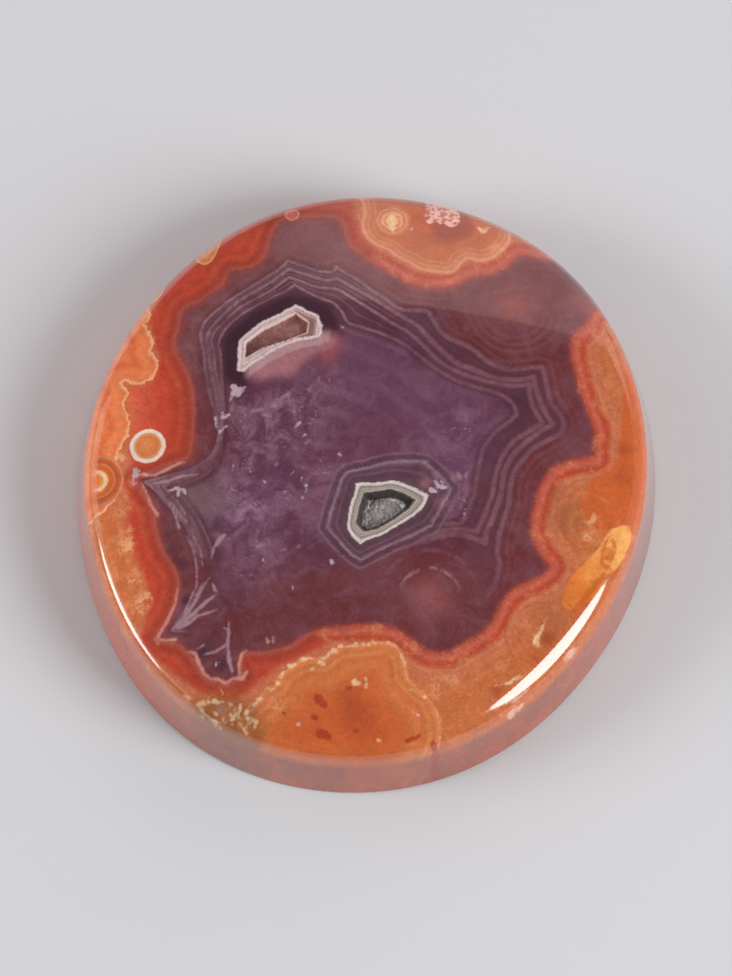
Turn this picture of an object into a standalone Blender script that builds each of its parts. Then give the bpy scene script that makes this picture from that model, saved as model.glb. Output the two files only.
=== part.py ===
"""A polished agate cabochon with two crystal-lined hollows in its domed face.

The stone lies on its flat back. The origin is the middle of the back, +Z points out of the domed face, and +Y
points along the stone's longer way, towards the end with the larger hollow. Everything is in metres.
"""

import math
import random

import bmesh
import bpy
import numpy as np
from mathutils import Vector

MM = 0.001


def in_mm(outline):
    """An outline's corners, written in millimetres, as metres."""
    return [(x * MM, y * MM) for x, y in outline]


# The girdle: the outline where the stone meets what it lies on, as radii every 15 degrees from +X.
GIRDLE_RADII = [
    14.50 * MM, 14.75 * MM, 15.20 * MM, 15.50 * MM, 15.60 * MM, 15.65 * MM,
    15.65 * MM, 15.50 * MM, 15.20 * MM, 14.95 * MM, 14.65 * MM, 14.55 * MM,
    14.50 * MM, 14.75 * MM, 14.90 * MM, 15.40 * MM, 15.80 * MM, 15.80 * MM,
    15.60 * MM, 15.45 * MM, 15.10 * MM, 14.50 * MM, 14.45 * MM, 14.45 * MM,
]
GIRDLE_HARMONICS = 6
GIRDLE_POINTS = 96

# The section: a small chamfer at the back, a drafted side wall, a round shoulder and a low dome.
BACK_CHAMFER = 0.15 * MM
WALL_TOP = 3.00 * MM
WALL_DRAFT = 0.55 * MM
SHOULDER_RADIUS = 1.60 * MM
SHOULDER_START = math.radians(79)
SHOULDER_END = math.radians(15)
SHOULDER_STEPS = 6
DOME_RISE = 1.75 * MM
DOME_STEPS = 9

# The upper hollow: a long angular recess with a ledge at its right end. The outlines run anticlockwise.
UPPER_FLOOR = in_mm([
    (-5.95, 5.60), (-5.15, 6.08), (-4.15, 6.48), (-3.45, 6.80), (-3.05, 7.00),
    (-2.98, 7.42), (-3.52, 7.86), (-4.45, 7.34), (-5.10, 7.00), (-5.95, 6.30),
])
UPPER_MOUTH = in_mm([
    (-6.07, 5.47), (-5.19, 6.03), (-4.17, 6.41), (-3.46, 6.73), (-2.96, 6.93),
    (-2.88, 7.49), (-3.55, 7.97), (-4.48, 7.43), (-5.13, 7.11), (-6.07, 6.35),
])
UPPER_LEDGE = in_mm([
    (-6.12, 5.40), (-5.19, 5.98), (-4.17, 6.30), (-3.46, 6.50), (-2.55, 6.60),
    (-2.45, 7.52), (-3.55, 8.12), (-4.50, 7.53), (-5.18, 7.20), (-6.14, 6.39),
])
UPPER_FLOOR_Z = 4.45 * MM
UPPER_LEDGE_Z = 5.02 * MM
UPPER_LEDGE_SLOPE = 0.02 * MM

# The middle hollow: an angular vug with steep walls, lined with coarser crystals.
MIDDLE_FLOOR = in_mm([
    (-0.02, -2.12), (-0.19, -2.70), (-0.33, -3.44), (-0.03, -3.74), (0.56, -3.58),
    (1.28, -3.15), (1.98, -2.62), (2.15, -2.34), (1.75, -2.12), (1.20, -1.95),
])
MIDDLE_MOUTH = in_mm([
    (-0.07, -2.01), (-0.29, -2.69), (-0.45, -3.50), (-0.07, -3.90), (0.58, -3.73),
    (1.33, -3.27), (2.08, -2.69), (2.35, -2.30), (1.81, -2.01), (1.22, -1.81),
])
MIDDLE_FLOOR_Z = 5.10 * MM

# Cutters reach this high, well over the dome.
CUTTER_TOP = 7.00 * MM

# The crystal crusts stand this far clear of the stone. Their crystals are six-sided points, one to a honeycomb cell.
GAP = 0.20 * MM
CRUST_BASE = 0.30 * MM
UPPER_CRYSTAL_WIDTH = 0.26 * MM
UPPER_CRYSTAL_HEIGHT = 0.13 * MM
UPPER_SEED = 3
MIDDLE_CRYSTAL_WIDTH = 0.32 * MM
MIDDLE_CRYSTAL_HEIGHT = 0.28 * MM
MIDDLE_SEED = 8

# How uneven the crystals are, as shares of their width and height.
FOOT_SHIFT = 0.12
FOOT_RISE = 0.25
TIP_SHIFT = 0.28
SHORTEST_TIP = 0.55

STONE_RED_BROWN = (0.25, 0.07, 0.06, 1.0)
STONE_POLISH = 0.12
UPPER_CRYSTAL_BROWN = (0.22, 0.12, 0.09, 1.0)
MIDDLE_CRYSTAL_GREY = (0.16, 0.15, 0.14, 1.0)
CRYSTAL_POLISH = 0.25


def clear_scene():
    for old in list(bpy.data.objects):
        bpy.data.objects.remove(old, do_unlink=True)


def principled(name, colour, roughness):
    """A material whose Principled shader has this colour and roughness and no metal."""
    material = bpy.data.materials.new(name)
    material.use_nodes = True
    shader = material.node_tree.nodes["Principled BSDF"]
    shader.inputs["Base Color"].default_value = colour
    shader.inputs["Roughness"].default_value = roughness
    shader.inputs["Metallic"].default_value = 0.0
    material.diffuse_color = colour
    return material


def add_object(name, builder):
    """A new object with the mesh that the builder holds."""
    mesh = bpy.data.meshes.new(name)
    builder.to_mesh(mesh)
    builder.free()
    thing = bpy.data.objects.new(name, mesh)
    bpy.context.scene.collection.objects.link(thing)
    return thing


def add_boolean(thing, operation, name, builder):
    """Cuts the thing with a helper solid, which stays hidden."""
    cutter = add_object(name, builder)
    cutter.hide_render = True
    cutter.display_type = "WIRE"
    boolean = thing.modifiers.new(name, "BOOLEAN")
    boolean.operation = operation
    boolean.solver = "EXACT"
    boolean.object = cutter


def level(points, height):
    return [Vector((x, y, height)) for x, y in points]


def stack(rings, crown=None):
    """A closed solid carried up through rings that have equal numbers of points.

    The first ring is the bottom. Each next one is made by extruding the top face and moving its corners.
    A crown is one point that the last face is drawn up to.
    """
    builder = bmesh.new()
    bottom = [builder.verts.new(point) for point in rings[0]]
    top = builder.faces.new(bottom)
    for ring in rings[1:]:
        top = bmesh.ops.extrude_discrete_faces(builder, faces=[top])["faces"][0]
        for corner, place in zip(list(top.verts), ring):
            corner.co = place
    if crown is not None:
        bmesh.ops.poke(builder, faces=[top])["verts"][0].co = crown
    builder.faces.new(list(reversed(bottom)))
    bmesh.ops.recalc_face_normals(builder, faces=builder.faces)
    return builder


def girdle():
    """The girdle's points and its inward directions: the radii carried round by their first few harmonics."""
    spectrum = np.fft.rfft(GIRDLE_RADII)
    order = np.arange(1, GIRDLE_HARMONICS + 1)[:, None]
    angle = np.arange(GIRDLE_POINTS) * 2 * math.pi / GIRDLE_POINTS
    waves = spectrum[1:GIRDLE_HARMONICS + 1, None] * np.exp(1j * order * angle)
    radius = (spectrum[0].real + 2 * waves.real.sum(axis=0)) / len(GIRDLE_RADII)
    points = np.stack([radius * np.cos(angle), radius * np.sin(angle)], axis=1)
    along = np.roll(points, -1, axis=0) - np.roll(points, 1, axis=0)
    inward = np.stack([-along[:, 1], along[:, 0]], axis=1)
    return points, inward / np.linalg.norm(inward, axis=1)[:, None]


def agate_stone():
    """The stone: the girdle's outline carried up the wall, round the shoulder and over the dome."""
    points, inward = girdle()
    rings = [
        level(points + inward * BACK_CHAMFER, 0.0),
        level(points, BACK_CHAMFER),
        level(points + inward * WALL_DRAFT, WALL_TOP),
    ]
    for step in range(1, SHOULDER_STEPS + 1):
        slope = SHOULDER_START + (SHOULDER_END - SHOULDER_START) * step / SHOULDER_STEPS
        inset = WALL_DRAFT + SHOULDER_RADIUS * (math.sin(SHOULDER_START) - math.sin(slope))
        height = WALL_TOP + SHOULDER_RADIUS * (math.cos(slope) - math.cos(SHOULDER_START))
        rings.append(level(points + inward * inset, height))
    dome_edge = points + inward * inset
    for step in range(1, DOME_STEPS):
        across = 1 - step / DOME_STEPS
        rings.append(level(dome_edge * across, height + DOME_RISE * (1 - across ** 2)))
    crown = Vector((0, 0, height + DOME_RISE))
    stone = add_object("agate_stone", stack(rings, crown))
    stone.data.materials.append(principled("agate", STONE_RED_BROWN, STONE_POLISH))
    add_boolean(stone, "DIFFERENCE", "upper_hollow", upper_hollow())
    add_boolean(stone, "DIFFERENCE", "middle_hollow", middle_hollow())
    stone.data.shade_smooth()
    stone.data.set_sharp_from_angle(angle=math.radians(30))
    return stone


def upper_hollow():
    """The upper hollow's space: leaning walls up to the ledge, then the wider mouth."""
    return stack([
        level(UPPER_FLOOR, UPPER_FLOOR_Z),
        level(UPPER_MOUTH, UPPER_LEDGE_Z),
        level(UPPER_LEDGE, UPPER_LEDGE_Z + UPPER_LEDGE_SLOPE),
        level(UPPER_LEDGE, CUTTER_TOP),
    ])


def middle_hollow():
    """The middle hollow's space: steep walls straight up through the dome."""
    return stack([level(MIDDLE_FLOOR, MIDDLE_FLOOR_Z), level(MIDDLE_MOUTH, CUTTER_TOP)])


def drawn_in(outline, distance):
    """An anticlockwise outline with each corner moved so that the sides come in by the distance."""
    corners = [Vector(point) for point in outline]
    moved = []
    for before, corner, after in zip(corners[-1:] + corners[:-1], corners, corners[1:] + corners[:1]):
        first = (corner - before).normalized()
        second = (after - corner).normalized()
        inward = Vector((-first.y - second.y, first.x + second.x)).normalized()
        spread = inward.dot(Vector((-first.y, first.x)))
        moved.append(corner + inward * distance / max(spread, 0.5))
    return moved


def crystal_field(middle, reach, base_z, width, height, seed):
    """A slab of six-sided crystal points on a honeycomb, which curves up like a bowl away from its middle.

    Each cell's six feet are shared with its neighbours, and its tip leans off its middle by a seeded amount.
    """
    draw = random.Random(seed)
    builder = bmesh.new()
    feet = {}

    def bowl(x, y):
        return base_z + (math.hypot(x, y) / reach) ** 2 * height

    def foot(x, y):
        key = (round(6 * x / width), round(6 * y / width))
        if key not in feet:
            shift_x = draw.uniform(-FOOT_SHIFT, FOOT_SHIFT) * width
            shift_y = draw.uniform(-FOOT_SHIFT, FOOT_SHIFT) * width
            rise = draw.uniform(0, FOOT_RISE) * height
            feet[key] = builder.verts.new((middle.x + x + shift_x, middle.y + y + shift_y, bowl(x, y) + rise))
        return feet[key]

    cells = int(reach / width) + 2
    corner_turns = [math.radians(30 + 60 * side) for side in range(6)]
    arm = width / math.sqrt(3)
    for row in range(-cells, cells + 1):
        for column in range(-cells, cells + 1):
            x = width * (column + 0.5 * (row % 2))
            y = width * row * math.sqrt(3) / 2
            shift_x = draw.uniform(-TIP_SHIFT, TIP_SHIFT) * width
            shift_y = draw.uniform(-TIP_SHIFT, TIP_SHIFT) * width
            rise = draw.uniform(SHORTEST_TIP, 1) * height
            tip = builder.verts.new((middle.x + x + shift_x, middle.y + y + shift_y, bowl(x, y) + rise))
            cell = [foot(x + arm * math.cos(turn), y + arm * math.sin(turn)) for turn in corner_turns]
            for side in range(6):
                builder.faces.new((tip, cell[side - 1], cell[side]))
    rim = [edge for edge in builder.edges if edge.is_boundary]
    skirt = bmesh.ops.extrude_edge_only(builder, edges=rim)["geom"]
    for part in skirt:
        if isinstance(part, bmesh.types.BMVert):
            part.co.z = base_z - 2 * CRUST_BASE
    bmesh.ops.contextual_create(builder, geom=[part for part in skirt if isinstance(part, bmesh.types.BMEdge)])
    bmesh.ops.recalc_face_normals(builder, faces=builder.faces)
    return builder


def crust(name, floor, floor_z, width, height, seed):
    """One hollow's crystals: a crystal field kept inside the floor's outline, clear of the walls and floor."""
    outline = drawn_in(floor, GAP)
    middle = sum(outline, Vector((0, 0))) / len(outline)
    reach = max((corner - middle).length for corner in outline)
    field = add_object(name, crystal_field(middle, reach, floor_z + CRUST_BASE, width, height, seed))
    room = stack([level(outline, floor_z + GAP), level(outline, CUTTER_TOP)])
    add_boolean(field, "INTERSECT", name + "_room", room)
    return field


def main():
    clear_scene()
    specimen = bpy.data.objects.new("polished_agate", None)
    bpy.context.scene.collection.objects.link(specimen)
    upper_crust = crust(
        "upper_hollow_crust", UPPER_FLOOR, UPPER_FLOOR_Z, UPPER_CRYSTAL_WIDTH, UPPER_CRYSTAL_HEIGHT, UPPER_SEED
    )
    upper_crust.data.materials.append(principled("brown_druse", UPPER_CRYSTAL_BROWN, CRYSTAL_POLISH))
    middle_crust = crust(
        "middle_hollow_crust", MIDDLE_FLOOR, MIDDLE_FLOOR_Z, MIDDLE_CRYSTAL_WIDTH, MIDDLE_CRYSTAL_HEIGHT, MIDDLE_SEED
    )
    middle_crust.data.materials.append(principled("grey_druse", MIDDLE_CRYSTAL_GREY, CRYSTAL_POLISH))
    for piece in (agate_stone(), upper_crust, middle_crust):
        piece.parent = specimen


main()
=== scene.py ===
"""A polished agate cabochon, lying on its flat back under soft studio light."""

import math

import bpy
import numpy as np
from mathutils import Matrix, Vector


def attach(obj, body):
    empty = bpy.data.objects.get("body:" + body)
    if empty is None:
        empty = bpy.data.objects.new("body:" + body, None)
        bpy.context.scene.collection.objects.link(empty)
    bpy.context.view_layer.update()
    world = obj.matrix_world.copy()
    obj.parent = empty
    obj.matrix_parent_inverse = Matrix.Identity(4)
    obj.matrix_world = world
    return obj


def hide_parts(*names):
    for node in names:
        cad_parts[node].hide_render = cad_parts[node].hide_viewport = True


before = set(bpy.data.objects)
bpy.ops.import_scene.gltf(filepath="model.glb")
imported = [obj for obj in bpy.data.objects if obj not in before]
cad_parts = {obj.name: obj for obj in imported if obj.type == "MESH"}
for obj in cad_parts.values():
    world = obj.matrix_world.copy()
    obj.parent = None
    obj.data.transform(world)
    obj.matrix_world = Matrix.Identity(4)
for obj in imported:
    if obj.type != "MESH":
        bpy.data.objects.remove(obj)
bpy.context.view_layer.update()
scene = bpy.context.scene
MM = 0.001

# The camera looks down at the stone at 70 degrees from its front, through a long lens.
# It aims a little below the stone's middle, so that the stone sits a little high in the picture.
CAMERA_HEIGHT = math.radians(70)
CAMERA_AWAY = 400 * MM
CAMERA_LENS = 295.1
AIM = Vector((-0.02 * MM, -0.54 * MM, 2.80 * MM))
camera = bpy.data.objects.new("camera", bpy.data.cameras.new("camera"))
camera.data.lens = CAMERA_LENS
camera.data.clip_start = 0.01
scene.collection.objects.link(camera)
camera_side = Vector((0, -math.cos(CAMERA_HEIGHT), math.sin(CAMERA_HEIGHT)))
camera.location = AIM + camera_side * CAMERA_AWAY
camera.rotation_euler = camera_side.to_track_quat("Z", "Y").to_euler()
scene.camera = camera
scene.view_settings.view_transform = "Standard"


# The floor is one wide pale sheet of matt card, level with the stone's back.
def linear(red, green, blue):
    """A colour given as 0 to 255 on a screen, as the linear numbers that shaders take."""
    seen = np.array((red, green, blue)) / 255
    low = seen / 12.92
    high = ((seen + 0.055) / 1.055) ** 2.4
    return (*np.where(seen <= 0.04045, low, high), 1.0)


FLOOR_REACH = 0.6
FLOOR_CARD = (223, 225, 228)
FLOOR_ROUGHNESS = 0.9
floor_mesh = bpy.data.meshes.new("floor")
floor_mesh.from_pydata(
    [(-FLOOR_REACH, -FLOOR_REACH, 0), (FLOOR_REACH, -FLOOR_REACH, 0),
     (FLOOR_REACH, FLOOR_REACH, 0), (-FLOOR_REACH, FLOOR_REACH, 0)], [], [(0, 1, 2, 3)])
floor = bpy.data.objects.new("floor", floor_mesh)
scene.collection.objects.link(floor)
floor_card = bpy.data.materials.new("pale_card")
floor_card.use_nodes = True
floor_shader = floor_card.node_tree.nodes["Principled BSDF"]
floor_shader.inputs["Base Color"].default_value = linear(*FLOOR_CARD)
floor_shader.inputs["Roughness"].default_value = FLOOR_ROUGHNESS
floor.data.materials.append(floor_card)


# The studio light: a dim room, a round key lamp at the right front, a small lamp and a wide dim screen at
# the left, and two pinkish screens at the right and behind, which give the dome's far side its soft sheen.
ROOM_TINT = (0.96, 0.98, 1.0, 1.0)
ROOM_STRENGTH = 0.20
LAMP_AIM = Vector((0, 0, 3 * MM))


def lamp(name, azimuth, elevation, away, size, radiance, shape="ELLIPSE", tint=(1, 1, 1)):
    """An area lamp facing the stone: azimuth turns from +X, and size is in degrees as seen from the stone.

    Each of its sides is 2 * away * tan(size / 2), and its energy is radiance * area * pi.
    """
    light = bpy.data.lights.new(name, "AREA")
    light.shape = shape
    light.size = 2 * away * math.tan(math.radians(size[0]) / 2)
    light.size_y = 2 * away * math.tan(math.radians(size[1]) / 2)
    area = light.size * light.size_y * (math.pi / 4 if shape == "ELLIPSE" else 1)
    light.energy = radiance * area * math.pi
    light.color = tint
    turn = math.radians(azimuth)
    rise = math.radians(elevation)
    towards = Vector((math.cos(rise) * math.cos(turn), math.cos(rise) * math.sin(turn), math.sin(rise)))
    thing = bpy.data.objects.new(name, light)
    thing.location = LAMP_AIM + towards * away
    thing.rotation_euler = towards.to_track_quat("Z", "Y").to_euler()
    scene.collection.objects.link(thing)
    return thing


room = bpy.data.worlds.new("room")
room.use_nodes = True
room.node_tree.nodes["Background"].inputs["Color"].default_value = ROOM_TINT
room.node_tree.nodes["Background"].inputs["Strength"].default_value = ROOM_STRENGTH
scene.world = room
lamp("key_lamp", azimuth=-25.2, elevation=31, away=0.5, size=(28.5, 36), radiance=9.4)
lamp("left_lamp", azimuth=187, elevation=25, away=0.5, size=(29, 20), radiance=8)
lamp("left_screen", azimuth=175, elevation=30, away=0.5, size=(60, 34), radiance=0.8, shape="RECTANGLE")
lamp("low_screen", azimuth=22, elevation=24, away=0.6, size=(44, 48), radiance=0.36, shape="RECTANGLE",
     tint=(1.0, 0.84, 0.80))
back_screen = lamp("back_screen", azimuth=74, elevation=25.2, away=0.6, size=(60, 50), radiance=0.9,
                   shape="RECTANGLE", tint=(1.0, 0.68, 0.64))
# The back screen leans to one side, and fades out over the last part of its width.
SCREEN_LEAN = math.radians(8)
SCREEN_DARK, SCREEN_FULL = 1.0, 0.68
back_screen.rotation_euler.rotate_axis("Z", SCREEN_LEAN)
back_screen.data.use_nodes = True
screen_nodes = back_screen.data.node_tree.nodes
screen_links = back_screen.data.node_tree.links
apart = screen_nodes.new("ShaderNodeSeparateXYZ")
fade = screen_nodes.new("ShaderNodeMapRange")
fade.interpolation_type = "SMOOTHSTEP"
fade.inputs["From Min"].default_value = SCREEN_DARK
fade.inputs["From Max"].default_value = SCREEN_FULL
screen_links.new(screen_nodes.new("ShaderNodeNewGeometry").outputs["Parametric"], apart.inputs[0])
screen_links.new(apart.outputs["X"], fade.inputs["Value"])
screen_links.new(fade.outputs["Result"], screen_nodes["Emission"].inputs["Strength"])

# The stone: one piece of agate, sawn flat at the back, ground to a sloping wall with a round shoulder and a
# low dome, and polished all over. The outline is held as radii every 15 degrees, carried round by harmonics.
GIRDLE_RADII = [radius * MM for radius in (
    14.50, 14.75, 15.20, 15.50, 15.60, 15.65, 15.65, 15.50, 15.20, 14.95, 14.65, 14.55,
    14.50, 14.75, 14.90, 15.40, 15.80, 15.80, 15.60, 15.45, 15.10, 14.50, 14.45, 14.45)]
GIRDLE_HARMONICS = 6
WITHIN_GIRDLE = 0.01 * MM
BACK_CHAMFER = 0.15 * MM
DOME_EDGE = 4.24 * MM
DOME_RISE = 1.75 * MM
SHOULDER_START = math.radians(79)
SHOULDER_END = math.radians(15)
# Round from +X in steps of 45 degrees: how far the wall leans in, and the radius of the shoulder above it.
WALL_DRAFTS = [draft * MM for draft in (0.50, 0.55, 0.55, 0.52, 0.45, 0.48, 0.52, 0.45)]
SHOULDER_RADII = [radius * MM for radius in (1.00, 1.50, 1.60, 1.50, 1.00, 0.80, 0.85, 1.65)]
DOME_ROWS = 125
SHOULDER_ROWS = 10
WALL_ROWS = 8
ROWS = DOME_ROWS + SHOULDER_ROWS + WALL_ROWS + 1
BACK_ROWS = ROWS // 4
BACK_SHARE = 0.97


def girdle(angle):
    """Outline points and inward directions: radius = mean + harmonics of the listed radii, at any angle."""
    spectrum = np.fft.rfft(GIRDLE_RADII) / len(GIRDLE_RADII)
    radius = np.full_like(angle, spectrum[0].real)
    rate = np.zeros_like(angle)
    for order in range(1, GIRDLE_HARMONICS + 1):
        wave = 2 * spectrum[order] * np.exp(1j * order * angle)
        radius = radius + wave.real
        rate = rate - order * wave.imag
    outward = np.stack([np.cos(angle), np.sin(angle)], axis=-1)
    across = np.stack([-np.sin(angle), np.cos(angle)], axis=-1)
    points = radius[..., None] * outward
    along = rate[..., None] * outward + radius[..., None] * across
    inward = np.stack([-along[..., 1], along[..., 0]], axis=-1)
    inward /= np.linalg.norm(inward, axis=-1, keepdims=True)
    return points + inward * WITHIN_GIRDLE, inward


def square_rings(rows):
    """A square grid as rings round its middle.

    Each point has the number of its ring, max(|across|, |up|), and its angle, which is even round that ring.
    """
    side = np.arange(-rows, rows + 1)
    across, up = np.meshgrid(side, side)
    ring = np.maximum(abs(across), abs(up))
    safe = np.maximum(ring, 1)
    right_left = abs(across) >= abs(up)
    angle = np.where(right_left, math.pi / 4 * up / safe * np.sign(across),
                     math.pi / 2 - math.pi / 4 * across / safe * np.sign(up))
    angle = angle + np.where(np.where(right_left, across, up) < 0, math.pi, 0)
    return ring, angle


def round_the_stone(values, angle):
    """Evenly spaced values carried smoothly round: the sum of all their harmonics."""
    spectrum = np.fft.rfft(values) / len(values)
    total = np.full_like(angle, spectrum[0].real)
    for order in range(1, len(spectrum)):
        share = 1 if 2 * order == len(values) else 2
        total = total + share * (spectrum[order] * np.exp(1j * order * angle)).real
    return total


def stone_surface(rows):
    """The face from the crown to the back's edge.

    Dome rows: the dome edge times across, at height edge + rise * (1 - across squared). Shoulder rows: an arc
    from the end slope to the start slope. Wall rows: a straight draft, then the small chamfer.
    """
    ring, angle = square_rings(rows)
    points, inward = girdle(angle)
    draft = round_the_stone(WALL_DRAFTS, angle)
    radius = round_the_stone(SHOULDER_RADII, angle)
    wall_top = DOME_EDGE - radius * (math.cos(SHOULDER_END) - math.cos(SHOULDER_START))
    arc = np.clip((ring - DOME_ROWS) / SHOULDER_ROWS, 0, 1)
    slope = SHOULDER_END + (SHOULDER_START - SHOULDER_END) * arc
    inset = draft + radius * (math.sin(SHOULDER_START) - np.sin(slope))
    height = wall_top + radius * (np.cos(slope) - math.cos(SHOULDER_START))
    down = np.clip((ring - DOME_ROWS - SHOULDER_ROWS) / WALL_ROWS, 0, 1)
    inset = np.where(down > 0, draft * (1 - down), inset)
    height = np.where(down > 0, wall_top + (BACK_CHAMFER - wall_top) * down, height)
    inset = np.where(ring == rows, BACK_CHAMFER, inset)
    height = np.where(ring == rows, 0, height)
    across = np.minimum(ring / DOME_ROWS, 1)
    plan = (points + inward * inset[..., None]) * across[..., None]
    height = height + DOME_RISE * (1 - across ** 2)
    return np.dstack([plan, height])


CURVE_STEPS = 3


def flow(corners):
    """A closed curve through given points, as short straight sides.

    It is a Catmull-Rom curve: the pull at a point is half the way from the point before to the one after.
    A point that is given twice makes a corner.
    """
    points = np.array(corners, float)
    before = np.roll(points, 1, axis=0)
    after = np.roll(points, -1, axis=0)
    pull = (after - before) / 2
    share = (np.arange(CURVE_STEPS) / CURVE_STEPS)[:, None, None]
    ahead = np.roll(pull, -1, axis=0)
    curve = (points * (2 * share ** 3 - 3 * share ** 2 + 1) + pull * (share ** 3 - 2 * share ** 2 + share)
             + after * (3 * share ** 2 - 2 * share ** 3) + ahead * (share ** 3 - share ** 2))
    moving = np.linalg.norm(after - points, axis=1) > 1e-6
    return curve[:, moving].transpose(1, 0, 2).reshape(-1, 2)


def nearest(plan, curve):
    """Each plan point's distance to a closed curve, the nearest point on it, and whether it lies inside."""
    x, y = plan[..., 0], plan[..., 1]
    best = np.full(x.shape, np.inf)
    foot_x, foot_y = np.zeros_like(x), np.zeros_like(x)
    inside = np.zeros(x.shape, bool)
    for (x0, y0), (x1, y1) in zip(curve, np.roll(curve, -1, axis=0)):
        run_x, run_y = x1 - x0, y1 - y0
        share = ((x - x0) * run_x + (y - y0) * run_y) / (run_x ** 2 + run_y ** 2)
        share = np.clip(share, 0, 1)
        near_x, near_y = x0 + share * run_x, y0 + share * run_y
        gap = (x - near_x) ** 2 + (y - near_y) ** 2
        closer = gap < best
        best = np.where(closer, gap, best)
        foot_x, foot_y = np.where(closer, near_x, foot_x), np.where(closer, near_y, foot_y)
        if run_y != 0:
            inside ^= ((y0 > y) != (y1 > y)) & (x < x0 + (y - y0) * run_x / run_y)
    return np.sqrt(best), np.stack([foot_x, foot_y], axis=-1), inside


def depth_within(plan, corners, smooth=True):
    """How far a plan point lies inside a closed outline, in its own units, and negative outside it."""
    curve = flow(corners) if smooth else np.array(corners, float)
    distance, _, inside = nearest(plan, curve)
    return np.where(inside, distance, -distance)


# The hollows' outlines in plan millimetres, as the part has them at the dome.
UPPER_LEDGE = [
    (-6.12, 5.40), (-5.19, 5.98), (-4.17, 6.30), (-3.46, 6.50), (-2.55, 6.60),
    (-2.45, 7.52), (-3.55, 8.12), (-4.50, 7.53), (-5.18, 7.20), (-6.14, 6.39)]
MIDDLE_MOUTH = [
    (-0.07, -2.01), (-0.29, -2.69), (-0.45, -3.50), (-0.07, -3.90), (0.58, -3.73),
    (1.33, -3.27), (2.08, -2.69), (2.35, -2.30), (1.81, -2.01), (1.22, -1.81)]
UPPER_SOLE = 4.40 * MM
MIDDLE_SOLE = 5.00 * MM
SNAP = 0.055

surface = stone_surface(ROWS)
for mouth, sole in ((UPPER_LEDGE, UPPER_SOLE), (MIDDLE_MOUTH, MIDDLE_SOLE)):
    distance, foot, inside = nearest(surface[..., :2] / MM, np.array(mouth))
    on_rim = distance < SNAP
    surface[..., :2] = np.where(on_rim[..., None], foot * MM, surface[..., :2])
    surface[..., 2] = np.where(inside & ~on_rim, np.minimum(sole, surface[..., 2]), surface[..., 2])


def back_surface(rows):
    """The flat back inside its edge strip: the chamfer's inner outline times the share and ring / rows."""
    ring, angle = square_rings(rows)
    points, inward = girdle(angle)
    plan = (points + inward * BACK_CHAMFER) * (BACK_SHARE * ring / rows)[..., None]
    return np.dstack([plan, np.zeros(ring.shape)])


def grid_faces(rows, first=0):
    """The faces of a square grid of points, anticlockwise, as point numbers."""
    side = 2 * rows + 1
    number = first + np.arange(side * side).reshape(side, side)
    corners = [number[:-1, :-1], number[:-1, 1:], number[1:, 1:], number[1:, :-1]]
    return np.stack(corners, axis=-1).reshape(-1, 4)


def grid_rim(rows, first=0):
    """The numbers of a square grid's rim points, anticlockwise from its lower left corner."""
    side = 2 * rows + 1
    number = first + np.arange(side * side).reshape(side, side)
    return np.concatenate([number[0, :-1], number[:-1, -1], number[-1, :0:-1], number[:0:-1, 0]])


back = back_surface(BACK_ROWS)
face_count = surface.shape[0] ** 2
stone_points = np.vstack([surface.reshape(-1, 3), back.reshape(-1, 3)])
outer_rim = grid_rim(ROWS)
inner_rim = grid_rim(BACK_ROWS, face_count)
# The strip at the back's edge joins four short sides of the face to one side of the back.
coarse = np.arange(len(inner_rim))
strip = [np.roll(outer_rim, -step)[::4] for step in range(4, -1, -1)]
strip += [inner_rim, np.roll(inner_rim, -1)]
strip = np.stack(strip, axis=-1)
back_faces = grid_faces(BACK_ROWS, face_count)[:, ::-1]
stone_faces = grid_faces(ROWS).tolist() + back_faces.tolist() + strip.tolist()
stone_mesh = bpy.data.meshes.new("polished_stone")
stone_mesh.from_pydata(stone_points, [], stone_faces)
stone_mesh.shade_smooth()


def grid_places(rows, corner, size):
    """Where a square grid's points lie on a map: evenly spaced from the corner over the size."""
    steps = np.arange(2 * rows + 1) / (2 * rows)
    across, up = np.meshgrid(steps, steps)
    return np.stack([corner[0] + across * size, corner[1] + up * abs(size)], axis=-1).reshape(-1, 2)


# The map for baking: the face and the back as square grids, and the strip between them laid out straight.
MAP_EDGE = 0.01
FACE_MAP = 0.78
BACK_MAP = 0.18
STRIP_MAP_FROM = 0.82
STRIP_MAP_WIDTH = 0.03
SHARP_ANGLE = math.radians(50)
map_points = np.vstack([grid_places(ROWS, (MAP_EDGE, MAP_EDGE), FACE_MAP),
                        grid_places(BACK_ROWS, (1 - MAP_EDGE, MAP_EDGE), -BACK_MAP)])
corner_points = np.empty(len(stone_mesh.loops), np.int32)
stone_mesh.loops.foreach_get("vertex_index", corner_points)
map_places = map_points[corner_points]
along = (coarse[:, None] + np.array((1, 0.75, 0.5, 0.25, 0, 0, 1))) / len(coarse)
across = np.broadcast_to(np.array((1, 1, 1, 1, 1, 0, 0)), along.shape)
strip_places = np.stack([MAP_EDGE + FACE_MAP * along, STRIP_MAP_FROM + STRIP_MAP_WIDTH * across], axis=-1)
map_places[-along.size:] = strip_places.reshape(-1, 2)
stone_mesh.uv_layers.new(name="OFBake").uv.foreach_set("vector", map_places.ravel().astype(np.float32))
stone_mesh.set_sharp_from_angle(angle=SHARP_ANGLE)
stone = bpy.data.objects.new("polished_stone", stone_mesh)
scene.collection.objects.link(stone)
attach(stone, "root")
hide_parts("agate_stone")

# The agate's bands, as curves in plan millimetres. Below the shoulder they lean a little as they go down,
# and round the far side they also sway along the wall.
LEAN = (0.10, -0.06)
LEAN_FROM = 4.2
SWAY_REACH = 10
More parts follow.
